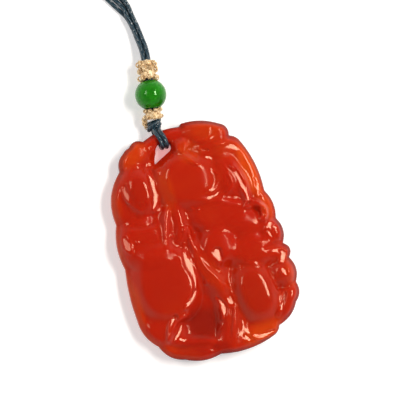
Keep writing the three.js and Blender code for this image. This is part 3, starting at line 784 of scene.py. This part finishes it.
# %% The blank
CELL = 0.26
BLANK_MARGIN = 1
RELAXED_RINGS = 4


def coordinates(verts):
    return np.array([v.co[:] for v in verts])


def set_heights(verts, heights):
    for v, z in zip(verts, heights):
        v.co.z = z


def grown(verts, rings):
    """The vertices and those that up to so many edges lead to."""
    reached = set(verts)
    for _ in range(rings):
        reached |= {e.other_vert(v) for v in reached for e in v.link_edges}
    return reached


def cut_blank(bm):
    """A grid cut to the outline and the hole, in millimetres, with its rim on them."""
    width, length = np.ptp(OUTLINE, axis=0) + BLANK_MARGIN
    bmesh.ops.create_grid(bm, x_segments=round(width / CELL), y_segments=round(length / CELL), size=0.5)
    bmesh.ops.scale(bm, vec=(width, length, 1), verts=bm.verts)
    xy = coordinates(bm.verts)[:, :2]
    keep = is_inside(OUTLINE, xy) & ~is_inside(HOLE, xy)
    bmesh.ops.delete(bm, geom=[v for v, k in zip(bm.verts, keep) if not k], context="VERTS")
    for _ in range(3):
        ears = [f for f in bm.faces if sum(e.is_boundary for e in f.edges) > 2]
        pinched = [v for v in bm.verts if sum(e.is_boundary for e in v.link_edges) > 2]
        loose = [v for v in bm.verts if not v.link_faces]
        bmesh.ops.delete(bm, geom=ears, context="FACES")
        for unwanted in (pinched, loose):
            bmesh.ops.delete(bm, geom=[v for v in unwanted if v.is_valid], context="VERTS")
    bmesh.ops.delete(bm, geom=[v for v in bm.verts if not v.link_faces], context="VERTS")
    rim = [v for v in bm.verts if any(e.is_boundary for e in v.link_edges)]
    rim_xy = coordinates(rim)[:, :2]
    to_outline, on_outline = nearest_on(OUTLINE, rim_xy)
    to_hole, on_hole = nearest_on(HOLE, rim_xy)
    for v, far, outer, near, inner in zip(rim, to_outline, on_outline, to_hole, on_hole):
        v.co.xy = inner if near < far else outer
    beside_rim = list(grown(rim, RELAXED_RINGS) - set(rim))
    for _ in range(2):
        bmesh.ops.smooth_vert(bm, verts=beside_rim, factor=0.5, use_axis_x=True, use_axis_y=True)
    print("the blank has", len(bm.verts), "vertices,", len(rim), "of them on its rims")


# %% Front, back and wall
MELTING_PASSES = 10
FINE_FROM_EDGE = 1.2
FINE_FROM_HOLE = 0.8
BRIDGE_CHANNEL_HEIGHT = 2.1
BRIDGE_CHANNEL_WIDTH = 4.6
LOOPS_FROM_HOLE_SIDE = 1.5
LOOP_X = float(HOLE[:, 0].max()) - LOOPS_FROM_HOLE_SIDE
WALL_CUTS = 9
POLISHED_RINGS = 3
POLISHING_PASSES = 3


def carve_front(bm):
    """The main forms, melted together, and the fine ones on them."""
    xy = coordinates(bm.verts)[:, :2]
    from_edge, _ = nearest_on(OUTLINE, xy)
    from_hole, _ = nearest_on(HOLE, xy)
    set_heights(bm.verts, rounded_rim(front_height(xy), from_edge, from_hole))
    for _ in range(MELTING_PASSES):
        bmesh.ops.smooth_vert(bm, verts=bm.verts, factor=0.5, use_axis_z=True)
    melted = coordinates(bm.verts)[:, 2]
    inner = np.clip(from_edge / FINE_FROM_EDGE, 0, 1) * np.clip(from_hole / FINE_FROM_HOLE, 0, 1)
    carved = melted + fine_relief(xy) * inner
    carved += (ground_flats(xy, carved) - carved) * inner
    set_heights(bm.verts, carved)


def back_height(xy):
    """The back is flat, but for the channel behind the bridge where the cords pass."""
    across = np.abs(xy[:, 0] - LOOP_X) / (BRIDGE_CHANNEL_WIDTH / 2)
    beside_hole = xy[:, 1] > float(HOLE[:, 1].min())
    arch = BRIDGE_CHANNEL_HEIGHT * np.sqrt(np.clip(1 - across ** 4, 0, 1))
    return np.where(beside_hole & (across < 1), arch, 0)


def close_back(bm):
    """Lays a copy of the sheet down as the back, bridges the wall, and gives the wall's vertices."""
    level = bm.verts.layers.float.new("level")
    for v in bm.verts:
        v[level] = 1.0
    copied = bmesh.ops.duplicate(bm, geom=[*bm.verts, *bm.edges, *bm.faces])
    back = [item for item in copied["geom"] if isinstance(item, bmesh.types.BMVert)]
    set_heights(back, back_height(coordinates(back)[:, :2]))
    for v in back:
        v[level] = 0.0
    open_edges = [e for e in bm.edges if e.is_boundary]
    middles = np.array([((e.verts[0].co + e.verts[1].co) / 2)[:2] for e in open_edges])
    by_hole = nearest_on(HOLE, middles)[0] < nearest_on(OUTLINE, middles)[0]
    for which in (by_hole, ~by_hole):
        bmesh.ops.bridge_loops(bm, edges=[e for e, w in zip(open_edges, which) if w])
    posts = [e for e in bm.edges if e.verts[0][level] != e.verts[1][level]]
    bmesh.ops.subdivide_edges(bm, edges=posts, cuts=WALL_CUTS, use_grid_fill=True)
    return [v for v in bm.verts if 0.01 < v[level] < 0.99]


def polish(bm, wall):
    """Smooths the wall and the rims beside it, and keeps everything on or over the floor."""
    zone = list(grown(wall, POLISHED_RINGS))
    for _ in range(POLISHING_PASSES):
        bmesh.ops.smooth_vert(bm, verts=zone, factor=0.5, use_axis_x=True, use_axis_y=True, use_axis_z=True)
    bmesh.ops.recalc_face_normals(bm, faces=bm.faces)
    set_heights(bm.verts, np.maximum(coordinates(bm.verts)[:, 2], 0))
    print("the wall has", len(wall), "vertices")


# %% [markdown]
# The stone's colour carries painted light and shade: a painted orange glow where light is
# taken to pass through thin stone, a painted deep red shade in other spots, and painted
# shade along the wall. It is also less polished in places. Four attributes on the vertices
# carry that to the material.

# %% Painted glow and shade, and where the stone is dull
# Painted light and shade: a glowing spot lightens the stone's colour to orange, a painted glow of light
# passing through thin stone, and a deep shade spot darkens it to a painted deep red shade.
# Each spot: place, half sizes, turn and how strong it is there.
GLOWING = [
    ((17.2, 14), (3.6, 10.5), 6, 1.0), ((13, 20.5), (5, 3.6), -30, 0.2), ((-11.5, 26), (6, 4.5), 24, 0.55),
    ((18.8, 4), (2.6, 5), 0, 0.6), ((9, 27.2), (7, 4.4), -13, 0.3), ((9.5, -27), (7.5, 4), 8, 0.6),
    ((-13, -26.5), (8, 3.4), -24, 0.3), ((-20.4, -11), (2.4, 9), 0, 0.5), ((-19, 16), (2.6, 8), 8, 0.3),
    ((3, 22.5), (4, 4), 0, 0.4), ((20, -14), (2.2, 6), 0, 0.25), ((6, 5), (9, 4), -17, 0.06),
    ((-5.2, 14), (2.6, 8), 0, 0.3), ((0, -8), (3, 9), 20, 0.15),
]
DEEP_SHADE = [
    ((-5, -20.6), (6.4, 5.6), 12, 1.0), ((-9, -26), (7, 3), -12, 0.5), ((-3, -28), (4, 2.6), 0, 0.6),
    ((-11.5, -8), (9, 10), 0, 0.2), ((9.6, -16.5), (7, 9.5), 0, 0.25), ((-11.5, 15.5), (4.5, 6), 0, 0.25),
]
# Each dull spot: the photograph shows no glint there, though the carving turns to the
# window, so the stone is taken to be less polished. Its pixel and its half sizes in pixels.
DULL_PIXELS = [
    ((148, 219), (8, 8)), ((140, 255), (6, 6)), ((171, 254), (8, 6)), ((230, 240), (12, 15)),
    ((258, 235), (5, 5)), ((268, 246), (9, 8)), ((229, 158), (10, 14)), ((231, 201), (14, 5)),
    ((204, 197), (6, 4)), ((188, 328), (4, 8)), ((205, 176), (6, 14)), ((222, 133), (4, 6)),
    ((142, 152), (5, 7)), ((141, 165), (5, 5)), ((241, 158), (6, 12)), ((250, 216), (9, 9)),
]
SPOT_STEEPNESS = 1.6
SPOT_DULLNESS = 0.85
DULL_WALL = (0.9, 0.3)
DARK_WALL = (0.72, 0.35)
WALL_ZONE = 0.8


def spots_at_pixels(spots):
    """The same spots in sixtieths of the plaque's length, turned as the photograph is."""
    pixel = PIXEL / UNIT
    turn = -math.degrees(PHOTO_TURN)
    return [((seen_at([at])[0] + DRAWN_MIDDLE) / UNIT, (half[0] * pixel, half[1] * pixel), turn, 1.0)
            for at, half in spots]


def spotted(places, spots):
    """How strongly each place lies in the soft-edged ovals: 0 outside them, up to 1 inside."""
    total = np.zeros(len(places))
    for at, half, turn, strength in spots:
        share = oval_depth(places, at, half, turn) * SPOT_STEEPNESS
        total = np.maximum(total, strength * eased(share))
    return total


def mark_finish(bm):
    """Writes on each vertex its painted glow, painted deep shade, painted shade along the wall, and how
    dull the stone is there.
    """
    bm.normal_update()
    places = coordinates(bm.verts)[:, :2]
    upward = np.array([v.normal.z for v in bm.verts])
    outer = np.clip(2 - nearest_on(OUTLINE, places)[0] / WALL_ZONE, 0, 1)
    # The edge share marks the wall, whose colour in the material is painted shade.
    dark, dull = (np.clip((least - upward) / span, 0, 1) * outer for least, span in (DARK_WALL, DULL_WALL))
    shares = {
        "edge": dark,
        "glow": spotted(places, GLOWING),
        "deep": spotted(places, DEEP_SHADE),
        "dull": np.maximum(dull, SPOT_DULLNESS * spotted(places, spots_at_pixels(DULL_PIXELS))),
    }
    for name, values in shares.items():
        layer = bm.verts.layers.float.new(name)
        for v, share in zip(bm.verts, values):
            v[layer] = float(share)
        print(name, "is", round(float(values.mean()), 3), "on average")


# %% Make the plaque
def make_plaque():
    bm = bmesh.new()
    cut_blank(bm)
    carve_front(bm)
    polish(bm, close_back(bm))
    mark_finish(bm)
    return add_mesh("carved_plaque", bm, smooth=True)


plaque = make_plaque()

# %% [markdown]
# Polished carnelian is a clear glaze over a body that light soaks into: it glows orange
# where the stone is thin and turns a deep red where it is thick. Here both are painted into
# the base colour, as a painted glow and a painted deep shade. The wall round the rim is
# seen at a slant and looks dark and soft, so a second, duller shader is mixed in there, and
# also on the dull spots of the front. Its colour on the wall is painted shade, dark red on
# the right and a lit orange towards the left.

# %% The carnelian
SOAKING = (1.0, 0.2, 0.06)


def carnelian():
    stone = Recipe("carnelian")
    cloud = stone.noise(110, 3)
    haze = stone.noise(35, 2)
    # Painted light and shade: the glow lightens the colour to orange and the deep shade darkens it to a
    # deep red.
    glow = (stone.attribute("glow") * 1.1 + (cloud - 0.5) * 0.3 + (haze - 0.5) * 0.5).clamped()
    deep = (stone.attribute("deep") + (haze - 0.5) * 0.4).clamped()
    body = stone.mix(glow, from_screen(176, 31, 11), from_screen(203, 66, 12))
    colour = stone.mix(deep, body, from_screen(146, 26, 13))
    stone.set(Base_Color=colour, Roughness=0.05 + cloud * 0.08, IOR=1.54, Specular_IOR_Level=0.27,
              Specular_Tint=(1.0, 0.76, 0.55, 1), Subsurface_Weight=0.4, Subsurface_Scale=0.003,
              Subsurface_Radius=SOAKING)
    # Painted shade on the wall: dark red on the right and a lit orange towards the left, by the place
    # across the plaque.
    across = stone.node("ShaderNodeSeparateXYZ", {}, {"Vector": stone.place()})
    to_left = ((Value(stone, across.outputs["X"]) / MM + 13) / -6).clamped()
    wall_shade_colour = stone.mix(to_left, from_screen(104, 22, 13), from_screen(178, 66, 36))
    dull = stone.node("ShaderNodeBsdfPrincipled", {}, {
        "Base Color": stone.mix(stone.attribute("edge"), colour, wall_shade_colour),
        "Roughness": 0.35, "IOR": 1.35, "Specular IOR Level": 0.08,
        "Subsurface Weight": 0.3, "Subsurface Radius": SOAKING, "Subsurface Scale": 0.002})
    both = stone.node("ShaderNodeMixShader", {}, {
        "Fac": stone.attribute("dull"), 1: stone.shader.outputs[0], 2: dull.outputs[0]})
    stone.feed(stone.tree.nodes["Material Output"].inputs["Surface"], both.outputs[0])
    return stone.material


keep_as(plaque, "carnelian", carnelian(), "carnelian_plaque")

# %% [markdown]
# ## The cords
# Each cord is one curve of its real length. Four neck cords start in the knot, run side
# by side through the collars and the bead, fall to the surface, part into two pairs and
# are wound up beyond the photograph's edge round the knot that ends them.

# %% The cords' routes
CORD = 1.1
SPACING = 1.2
COIL_CENTRE = (2.5, 79.0)
COIL_TURNS = 6
COIL_INNER = 2.8
COIL_PITCH = 1.2
COIL_LAYER = 1.25
POINTS_IN_A_TURN = 16
LOWEST = 0.62
INTO_END_KNOT = ((2, 2.35), (4, 1.75))

# The way of the bundle's middle from the knot through the collars and the bead.
THREADING = [
    (-3.261, 33.424, 3.35), (-3.04, 34.017, 3.6), (-2.777, 35.767, 4.0), (-2.281, 39.074, 4.0),
    (-1.785, 42.381, 4.0), (-1.337, 45.367, 3.6), (-0.937, 48.037, 3.15),
    (-0.7, 51, 2.4), (-0.9, 54, 1.65), (-1.2, 57, 1.25),
]
# How far each strand lies beside and above that middle, in spacings, and its own way on
# from there to the coil.
CORNERS = [(-0.5, -0.5), (-0.5, 0.5), (0.5, -0.5), (0.5, 0.5)]
FREE_ROUTES = [
    [(-2.5, 60, 0.62), (-3.95, 62.5, 0.62), (-5.2, 64.5, 0.62), (-6.6, 67, 0.62), (-7.3, 69.5, 0.62),
     (-7.5, 73.2, 0.62)],
    [(-2.4, 60, 1.82), (-2.75, 62.5, 1.38), (-3.75, 64.5, 0.68), (-5.2, 67, 0.72), (-6.45, 69.5, 1.5),
     (-7.45, 73.2, 1.87)],
    [(-1.2, 60, 0.62), (-1.6, 62.5, 0.62), (-2.35, 64.5, 0.62), (-3.8, 67, 0.8), (-5.05, 69.5, 1.75),
     (-6.15, 71, 2.6), (-7.05, 72.5, 3.12)],
    [(-1.1, 60, 1.82), (-1.4, 62.5, 1.82), (-2, 64.5, 1.8), (-3, 67, 1.75), (-4.2, 69.5, 2.8),
     (-5.5, 71, 3.75), (-6.3, 71.85, 4.2)],
]
# The loops pass through the hole in front, and both turn up behind the bridge.
LOOP_BEHIND = [
    (-3.181, 25.233, 2.7), (-3.181, 25.583, 1.35), (-3.181, 26.433, 0.65), (-3.461, 28.003, 0.65),
    (-3.781, 28.974, 0.65), (-3.981, 29.874, 0.95), (-3.981, 30.404, 1.54),
]
LOOPS_IN_FRONT = {
    "loop_left": [
        (-3.981, 30.404, 4.26), (-3.981, 29.774, 5.3), (-3.781, 28.574, 6.464), (-3.501, 27.903, 6.717),
        (-3.301, 26.933, 6.517), (-3.181, 25.883, 6.231), (-3.181, 25.283, 4.8),
    ],
    "loop_right": [
        (-2.781, 30.404, 4.26), (-2.781, 29.774, 5.3), (-2.581, 28.574, 6.645), (-2.301, 27.903, 6.741),
        (-2.101, 26.933, 6.556), (-1.981, 25.883, 6.275), (-1.981, 25.283, 4.8),
    ],
}
print(len(THREADING), "places to thread through, and", len(LOOPS_IN_FRONT), "loops")

# %% Smooth routes and the coil
STEPS_BETWEEN = 12


def between(a, b, start, end, t):
    return a * ((end - t) / (end - start)) + b * ((t - start) / (end - start))


def through(points):
    """A smooth curve through the points, in millimetres, with even steps between each two."""
    nodes = [Vector(p) for p in points]
    nodes = [nodes[0] * 2 - nodes[1], *nodes, nodes[-1] * 2 - nodes[-2]]
    fine = []
    for a, b, c, d in zip(nodes, nodes[1:], nodes[2:], nodes[3:]):
        t0, t1 = 0, max(1e-6, (b - a).length) ** 0.5
        t2 = t1 + max(1e-6, (c - b).length) ** 0.5
        t3 = t2 + max(1e-6, (d - c).length) ** 0.5
        for step in range(STEPS_BETWEEN):
            t = t1 + (t2 - t1) * step / STEPS_BETWEEN
            ab, bc, cd = between(a, b, t0, t1, t), between(b, c, t1, t2, t), between(c, d, t2, t3, t)
            abc, bcd = between(ab, bc, t0, t2, t), between(bc, cd, t1, t3, t)
            fine.append(between(abc, bcd, t1, t2, t))
    return [*fine, nodes[-2]]


def coil_point(steps, radius, height):
    """A place on the coil, so many steps clockwise from its left side."""
    angle = math.pi - 2 * math.pi * steps / POINTS_IN_A_TURN
    return (COIL_CENTRE[0] + radius * math.cos(angle), COIL_CENTRE[1] + radius * math.sin(angle), height)


def coil_points(layer):
    """The wound length: from the coil's left side inwards, clockwise, to the end knot."""
    height = LOWEST + layer * COIL_LAYER
    last = COIL_TURNS * POINTS_IN_A_TURN
    points = []
    for step in range(last + 1):
        radius = COIL_INNER + COIL_TURNS * COIL_PITCH * (1 - step / last)
        points.append(coil_point(step, radius, height))
    return points + [coil_point(last + extra, radius, height) for extra, radius in INTO_END_KNOT]


def neck_route(index):
    across, above = CORNERS[index]
    threaded = [(x + across * SPACING, y, z + above * SPACING) for x, y, z in THREADING]
    return [*threaded, *FREE_ROUTES[index], *coil_points(index)]


def length_of(points):
    return sum((b - a).length for a, b in zip(points, points[1:]))


NECK_ROUTES = [through(neck_route(index)) for index in range(4)]
print("the neck cords are", [round(length_of(route), 1) for route in NECK_ROUTES], "mm long")

# %% [markdown]
# A curve with a round bevel is the easiest cord: it has the real thickness and keeps its
# length. Every winding below is made in this way too.

# %% Cords as curves
CORD_SIDES = 3


def make_strands(name, strands, thickness, sides):
    """One curve object of round strands, each a list of points in millimetres."""
    curve = bpy.data.curves.new(name, "CURVE")
    curve.dimensions = "3D"
    curve.bevel_mode = "ROUND"
    curve.bevel_depth = 1
    curve.bevel_resolution = sides
    curve.use_fill_caps = True
    for points in strands:
        spline = curve.splines.new("POLY")
        spline.points.add(len(points) - 1)
        for point, place in zip(spline.points, points):
            point.co = (*(Vector(place) * MM), 1)
            point.radius = thickness / 2 * MM
    print(name, "is", len(strands), "strand" + "s" * (len(strands) > 1))
    return add_object(name, curve)


# %% [markdown]
# The cord is waxed and twisted of fine strands: dark teal, with small light glints along
# the twist. The glints are painted into its colour as lighter streaks on the twist, a
# painted highlight, over a fine grain of random tone. A curve's own UV map runs along it
# and round it, so a wave on both together is a helix that follows every bend.

# %% The cord's look
TWIST_LENGTH = 2.4
STRANDS_IN_A_CORD = 4


def blue_cord(length):
    """The waxed cord, for a piece of that length in millimetres."""
    cord = Recipe("blue_cord")
    uv = cord.node("ShaderNodeTexCoord").outputs["UV"]
    parts = cord.node("ShaderNodeSeparateXYZ", {}, {"Vector": uv})
    along = Value(cord, parts.outputs["X"]) * (length / TWIST_LENGTH)
    around = Value(cord, parts.outputs["Y"]) * STRANDS_IN_A_CORD
    wave = cord.node("ShaderNodeMath", {"operation": "SINE"}, {0: (along + around) * (2 * math.pi)})
    strand = Value(cord, wave.outputs[0]) * 0.5 + 0.5
    grain = cord.noise(3000, 2)
    share = (strand * 0.45 + grain * 0.55).clamped()
    # Painted highlight: the lighter colour along the strands stands in for glints on the twist.
    colour = cord.mix(share, from_screen(4, 15, 24), from_screen(44, 76, 92))
    cord.set(Base_Color=colour, Roughness=0.27, Specular_IOR_Level=0.6)
    cord.bump(strand * 0.8 + grain * 0.2, 0.00013, 0.9)
    return cord.material


def make_cord(name, routes, *nodes):
    """Strands of the waxed cord, in place of the model's nodes."""
    cord = make_strands(name, routes, CORD, CORD_SIDES)
    keep_as(cord, "blue_cord", blue_cord(length_of(routes[0])), *nodes)
    return cord


print("the twist comes round every", TWIST_LENGTH, "mm")

# %% [markdown]
# ## The knots
# The knot above the plaque gathers both loops: the cord is wound round them and pulled
# tight, so it shows as two fat turns with one strand laid over them. The knot at the
# cords' far end is wound in the same way, with more turns. A helix that is squeezed to an
# oval is such a winding, and a plain core fills its inside.

# %% Wound knots
STEPS_IN_A_TURN = 20
BARREL = 0.8
CORE_LOOK_LENGTH = 8


def winding(middle, axis, half_across, half_up, length, turns):
    """A helix about an axis through the middle, oval across it, in millimetres."""
    axis = Vector(axis).normalized()
    across = axis.cross(Vector((0, 0, 1))) if abs(axis.z) < 0.9 else Vector((1, 0, 0))
    across.normalize()
    up = across.cross(axis)
    points = []
    for step in range(round(turns * STEPS_IN_A_TURN) + 1):
        angle = 2 * math.pi * step / STEPS_IN_A_TURN
        share = step / (turns * STEPS_IN_A_TURN) - 0.5
        barrel = 1 - BARREL * share * share
        sideways = (across * half_across * math.cos(angle) + up * half_up * math.sin(angle)) * barrel
        points.append(Vector(middle) + axis * length * share + sideways)
    return points


def make_core(name, middle, size):
    """A rounded filling inside a winding."""
    bm = bmesh.new()
    bmesh.ops.create_icosphere(bm, subdivisions=3, radius=0.5)
    bmesh.ops.scale(bm, vec=size, verts=bm.verts)
    core = add_mesh(name, bm, middle, smooth=True)
    keep_as(core, "blue_cord", blue_cord(CORE_LOOK_LENGTH))
    return core


print("a winding has", STEPS_IN_A_TURN, "steps a turn")

# %% The knot that ends the cords
END_TURNS = 3.4
END_MIDDLE, END_SIZE = (side / MM for side in box_of("end_knot"))
end_turns = winding(END_MIDDLE, (0, 0, 1), END_SIZE.x / 2 - CORD / 2, END_SIZE.x / 2 - CORD / 2,
                    END_SIZE.z - CORD - 0.1, END_TURNS)
end_winding = make_cord("end_winding", [end_turns], "end_knot")
end_core = make_core("end_core", END_MIDDLE, (END_SIZE.x - 1, END_SIZE.x - 1, END_SIZE.z - 0.3))

# %% The four neck cords and the two loops
for index, route in enumerate(NECK_ROUTES):
    length = length_of(route)
    nodes = [f"neck_cord_{index + 1}"] + (["neck_cord_coil"] if index == 0 else [])
    cord = make_cord(f"neck_strand_{index + 1}", [route], *nodes)
    tuple(route[0] * MM)

for name, front in LOOPS_IN_FRONT.items():
    aside = SPACING if name == "loop_right" else 0
    route = through(front + [(x + aside, y, z) for x, y, z in LOOP_BEHIND])
    make_cord(name, [route], name.replace("loop", "loop_cord"))
    print(name, "is", round(length_of(route), 1), "mm long")

# %% The knot above the plaque
KNOT_TURNS = 2.2
KNOT_WAY = (0.12, 1, 0.1)
KNOT_MIDDLE, KNOT_SIZE = (side / MM for side in box_of("cord_knot"))
CROSSING = [
    (-1.75, -1.1, -0.2), (-1.5, -0.8, 0.75), (-0.7, -0.35, 1.4), (0.3, 0.15, 1.6), (1.15, 0.6, 1.1),
    (1.5, 0.8, 0.2),
]
knot_turns = winding(KNOT_MIDDLE, KNOT_WAY, KNOT_SIZE.x / 2 - CORD / 2, KNOT_SIZE.z / 2 - CORD / 2,
                     KNOT_SIZE.y - CORD - 0.15, KNOT_TURNS)
crossing = through([KNOT_MIDDLE + Vector(offset) for offset in CROSSING])
make_cord("wound_knot", [knot_turns, crossing], "cord_knot")
make_core("knot_core", KNOT_MIDDLE, (KNOT_SIZE.x - 0.9, KNOT_SIZE.y - 0.5, KNOT_SIZE.z - 0.9))

# %% [markdown]
# ## The green bead
# A round bead with a straight bore is the same all round, as if it came from a lathe: half
# of its section, with a small rounding at each mouth, is spun about the way of the cords.

# %% The bead
BEAD_MIDDLE = box_of("green_bead")[0] / MM
BEAD_RADIUS = 4.0
BEAD_STEPS = 32
BORE_RADIUS = 1.65
MOUTH = 0.25
MOUTH_SOFTENING = 0.08
BEAD_SIDES = 64
CORD_WAY = Vector((0.15, 1, 0)).normalized()


def lathe(section, way, steps):
    """A closed section, each point a radius and a place along the way, spun about the way."""
    bm = bmesh.new()
    across = way.cross(Vector((0, 0, 1))).normalized()
    verts = [bm.verts.new(across * r + way * y) for r, y in section]
    edges = [bm.edges.new(pair) for pair in zip(verts, verts[1:] + verts[:1])]
    bmesh.ops.spin(bm, geom=verts + edges, cent=(0, 0, 0), axis=way, angle=2 * math.pi, steps=steps,
                   use_merge=True)
    bmesh.ops.recalc_face_normals(bm, faces=bm.faces)
    return bm


def make_bead():
    mouth = math.asin((BORE_RADIUS + MOUTH) / BEAD_RADIUS)
    section = []
    for step in range(BEAD_STEPS + 1):
        angle = mouth + (math.pi - 2 * mouth) * step / BEAD_STEPS
        section.append((BEAD_RADIUS * math.sin(angle), -BEAD_RADIUS * math.cos(angle)))
    reach = section[-1][1]
    section += [(BORE_RADIUS + MOUTH_SOFTENING, reach - 0.03), (BORE_RADIUS, reach - 0.2), (BORE_RADIUS, 0),
                (BORE_RADIUS, 0.2 - reach), (BORE_RADIUS + MOUTH_SOFTENING, 0.03 - reach)]
    return add_mesh("round_bead", lathe(section, CORD_WAY, BEAD_SIDES), BEAD_MIDDLE, smooth=True)


def green_stone():
    stone = Recipe("green_stone")
    share = (stone.noise(160, 3) * 0.6 + stone.noise(420, 2) * 0.4).clamped()
    stops = [(0.3, from_screen(10, 92, 8)), (0.7, from_screen(40, 138, 22))]
    stone.set(Base_Color=stone.ramp(share, stops), Roughness=0.1, IOR=1.54, Specular_IOR_Level=0.35,
              Specular_Tint=(0.6, 1.0, 0.55, 1), Subsurface_Weight=0.6, Subsurface_Scale=0.003,
              Subsurface_Radius=(0.25, 1.0, 0.2))
    return stone.material


bead = make_bead()
keep_as(bead, "green_stone", green_stone(), "green_bead")

# %% [markdown]
# ## The gold thread collars
# Each collar is worked in metallic thread round the cords: rows of little wound lumps.
# From above a lump shows its turns side by side; at the collar's sides the lumps are seen
# end on, as small rings. So each lump is a short oval winding whose axis runs round the
# collar, and every lump is a little turned and shifted after its own count, because such
# work is never even. A plain sleeve under them hides the cords and reaches further out on
# the bead's side than on the other.

# %% Thread lumps in rows
THREAD = 0.34
THREAD_SIDES = 1
LUMP_TURNS = 2.6
LUMP_STEPS = 12
LUMP_DEPTH = 0.6
LUMP_OVERLAP = 0.04
LUMP_FILL = 0.56
SUNK = 0.15
UNEVEN = 0.12
UNEVEN_OUTWARD = 0.08
ROW_TO_BEAD = 0.65


def lump(centre, outward, way, onward, wide, tall, uneven):
    """One oval winding of thread: it stands out along outward and is wound about onward."""
    points = []
    for step in range(round(LUMP_TURNS * LUMP_STEPS) + 1):
        turn = 2 * math.pi * step / LUMP_STEPS + 3 * uneven
        share = step / (LUMP_TURNS * LUMP_STEPS) - 0.5
        swell = 1 - 0.4 * abs(2 * share) ** 2.5
        points.append(centre + onward * wide * share + way * 0.25 * uneven * share
                      + outward * LUMP_DEPTH * swell * math.cos(turn) + way * tall * swell * math.sin(turn))
    return points


def make_collar(name, node, way, diameter, length, rows, lumps, bead_side, loose_ends=()):
    """Rows of lumps about the way; the row beside the bead sits a little nearer to it."""
    middle = box_of(node)[0] / MM
    way = Vector(way).normalized()
    across = way.cross(Vector((0, 0, 1))).normalized()
    up = across.cross(way)
    row_length = length / rows
    tall = row_length / 2 - THREAD / 2 + LUMP_OVERLAP
    centre_line = diameter / 2 - LUMP_DEPTH - THREAD / 2 + SUNK
    wide = 2 * math.pi * centre_line / lumps * LUMP_FILL
    strands = []
    for row in range(rows):
        along = row_length * (row - (rows - 1) / 2)
        if row == (rows - 1 if bead_side > 0 else 0):
            along += ROW_TO_BEAD * bead_side
        for count in range(lumps):
            uneven = math.sin(5.1 * count + 2.7 * row)
            angle = 2 * math.pi * (count + 0.5 * (row % 2) + UNEVEN * uneven) / lumps
            outward = across * math.cos(angle) + up * math.sin(angle)
            onward = up * math.cos(angle) - across * math.sin(angle)
            centre = middle + way * (along + UNEVEN * uneven)
            centre += outward * (centre_line + UNEVEN_OUTWARD * uneven)
            strands.append(lump(centre, outward, way, onward, wide, tall, uneven))
    for aside, along, above in loose_ends:
        centre = middle + across * aside + way * along + up * above
        strands.append(lump(centre, across, way, up, 0.7, 0.5, aside + along))
    return make_strands(name, strands, THREAD, THREAD_SIDES)


print("a lump has", round(LUMP_TURNS * LUMP_STEPS) + 1, "points")

# %% The sleeve under the lumps
SLEEVE_RADIUS = 1.95
SLEEVE_BORE = 1.75
SLEEVE_SHORTER = 0.2
REACH_TO_BEAD = 0.3
SLEEVE_SIDES = 32
SLEEVE_ROUND = 0.1


def make_sleeve(name, node, way, length, bead_side):
    """A plain tube with rounded ends about the way of the cords, longer on the bead's side."""
    way = Vector(way).normalized()
    middle = box_of(node)[0] / MM + way * bead_side * REACH_TO_BEAD / 2
    half = (length - SLEEVE_SHORTER + REACH_TO_BEAD) / 2
    section = [(SLEEVE_BORE, -half), (SLEEVE_RADIUS, -half), (SLEEVE_RADIUS, half), (SLEEVE_BORE, half)]
    bm = lathe(section, way, SLEEVE_SIDES)
    rims = [e for e in bm.edges if len(e.link_faces) == 2 and e.calc_face_angle(0) > 1]
    bmesh.ops.bevel(bm, geom=rims, offset=SLEEVE_ROUND, segments=2, profile=0.5, affect="EDGES",
                    material=-1)
    return add_mesh(name, bm, middle)


print("a sleeve's wall is", round(SLEEVE_RADIUS - SLEEVE_BORE, 2), "mm thick")


# %% The gold thread
def gold_thread():
    thread = Recipe("gold_thread")
    grain = thread.noise(2400, 3)
    share = (grain * 0.6 + thread.noise(700, 2) * 0.4).clamped()
    stops = [(0.32, from_screen(150, 104, 60)), (0.5, from_screen(222, 190, 142)),
             (0.66, from_screen(250, 232, 198))]
    thread.set(Base_Color=thread.ramp(share, stops), Roughness=0.38, Metallic=0.3)
    thread.bump(grain, 0.00005, 0.7)
    return thread.material


GOLD_THREAD = gold_thread()

# %% The two collars
LOWER_WAY = (0.13, 1, 0.18)
UPPER_WAY = (0.15, 1, -0.15)
COLLARS = {
    "lower": dict(way=LOWER_WAY, diameter=5.0, length=2.1, rows=2, lumps=8, bead_side=1,
                  loose_ends=((-2.35, -1.1, -0.2), (-2.3, -2.0, -0.7), (-1.9, -2.8, -1.0))),
    "upper": dict(way=UPPER_WAY, diameter=5.4, length=4.6, rows=3, lumps=8, bead_side=-1),
}
for prefix, sizes in COLLARS.items():
    node = f"{prefix}_gold_collar"
    threads = make_collar(f"{prefix}_gold_lumps", node, **sizes)
    keep_as(threads, "gold_thread", GOLD_THREAD, node)
    sleeve = make_sleeve(f"{prefix}_sleeve", node, sizes["way"], sizes["length"], sizes["bead_side"])
    keep_as(sleeve, "gold_thread", GOLD_THREAD)

# %% Finish
bpy.context.view_layer.update()
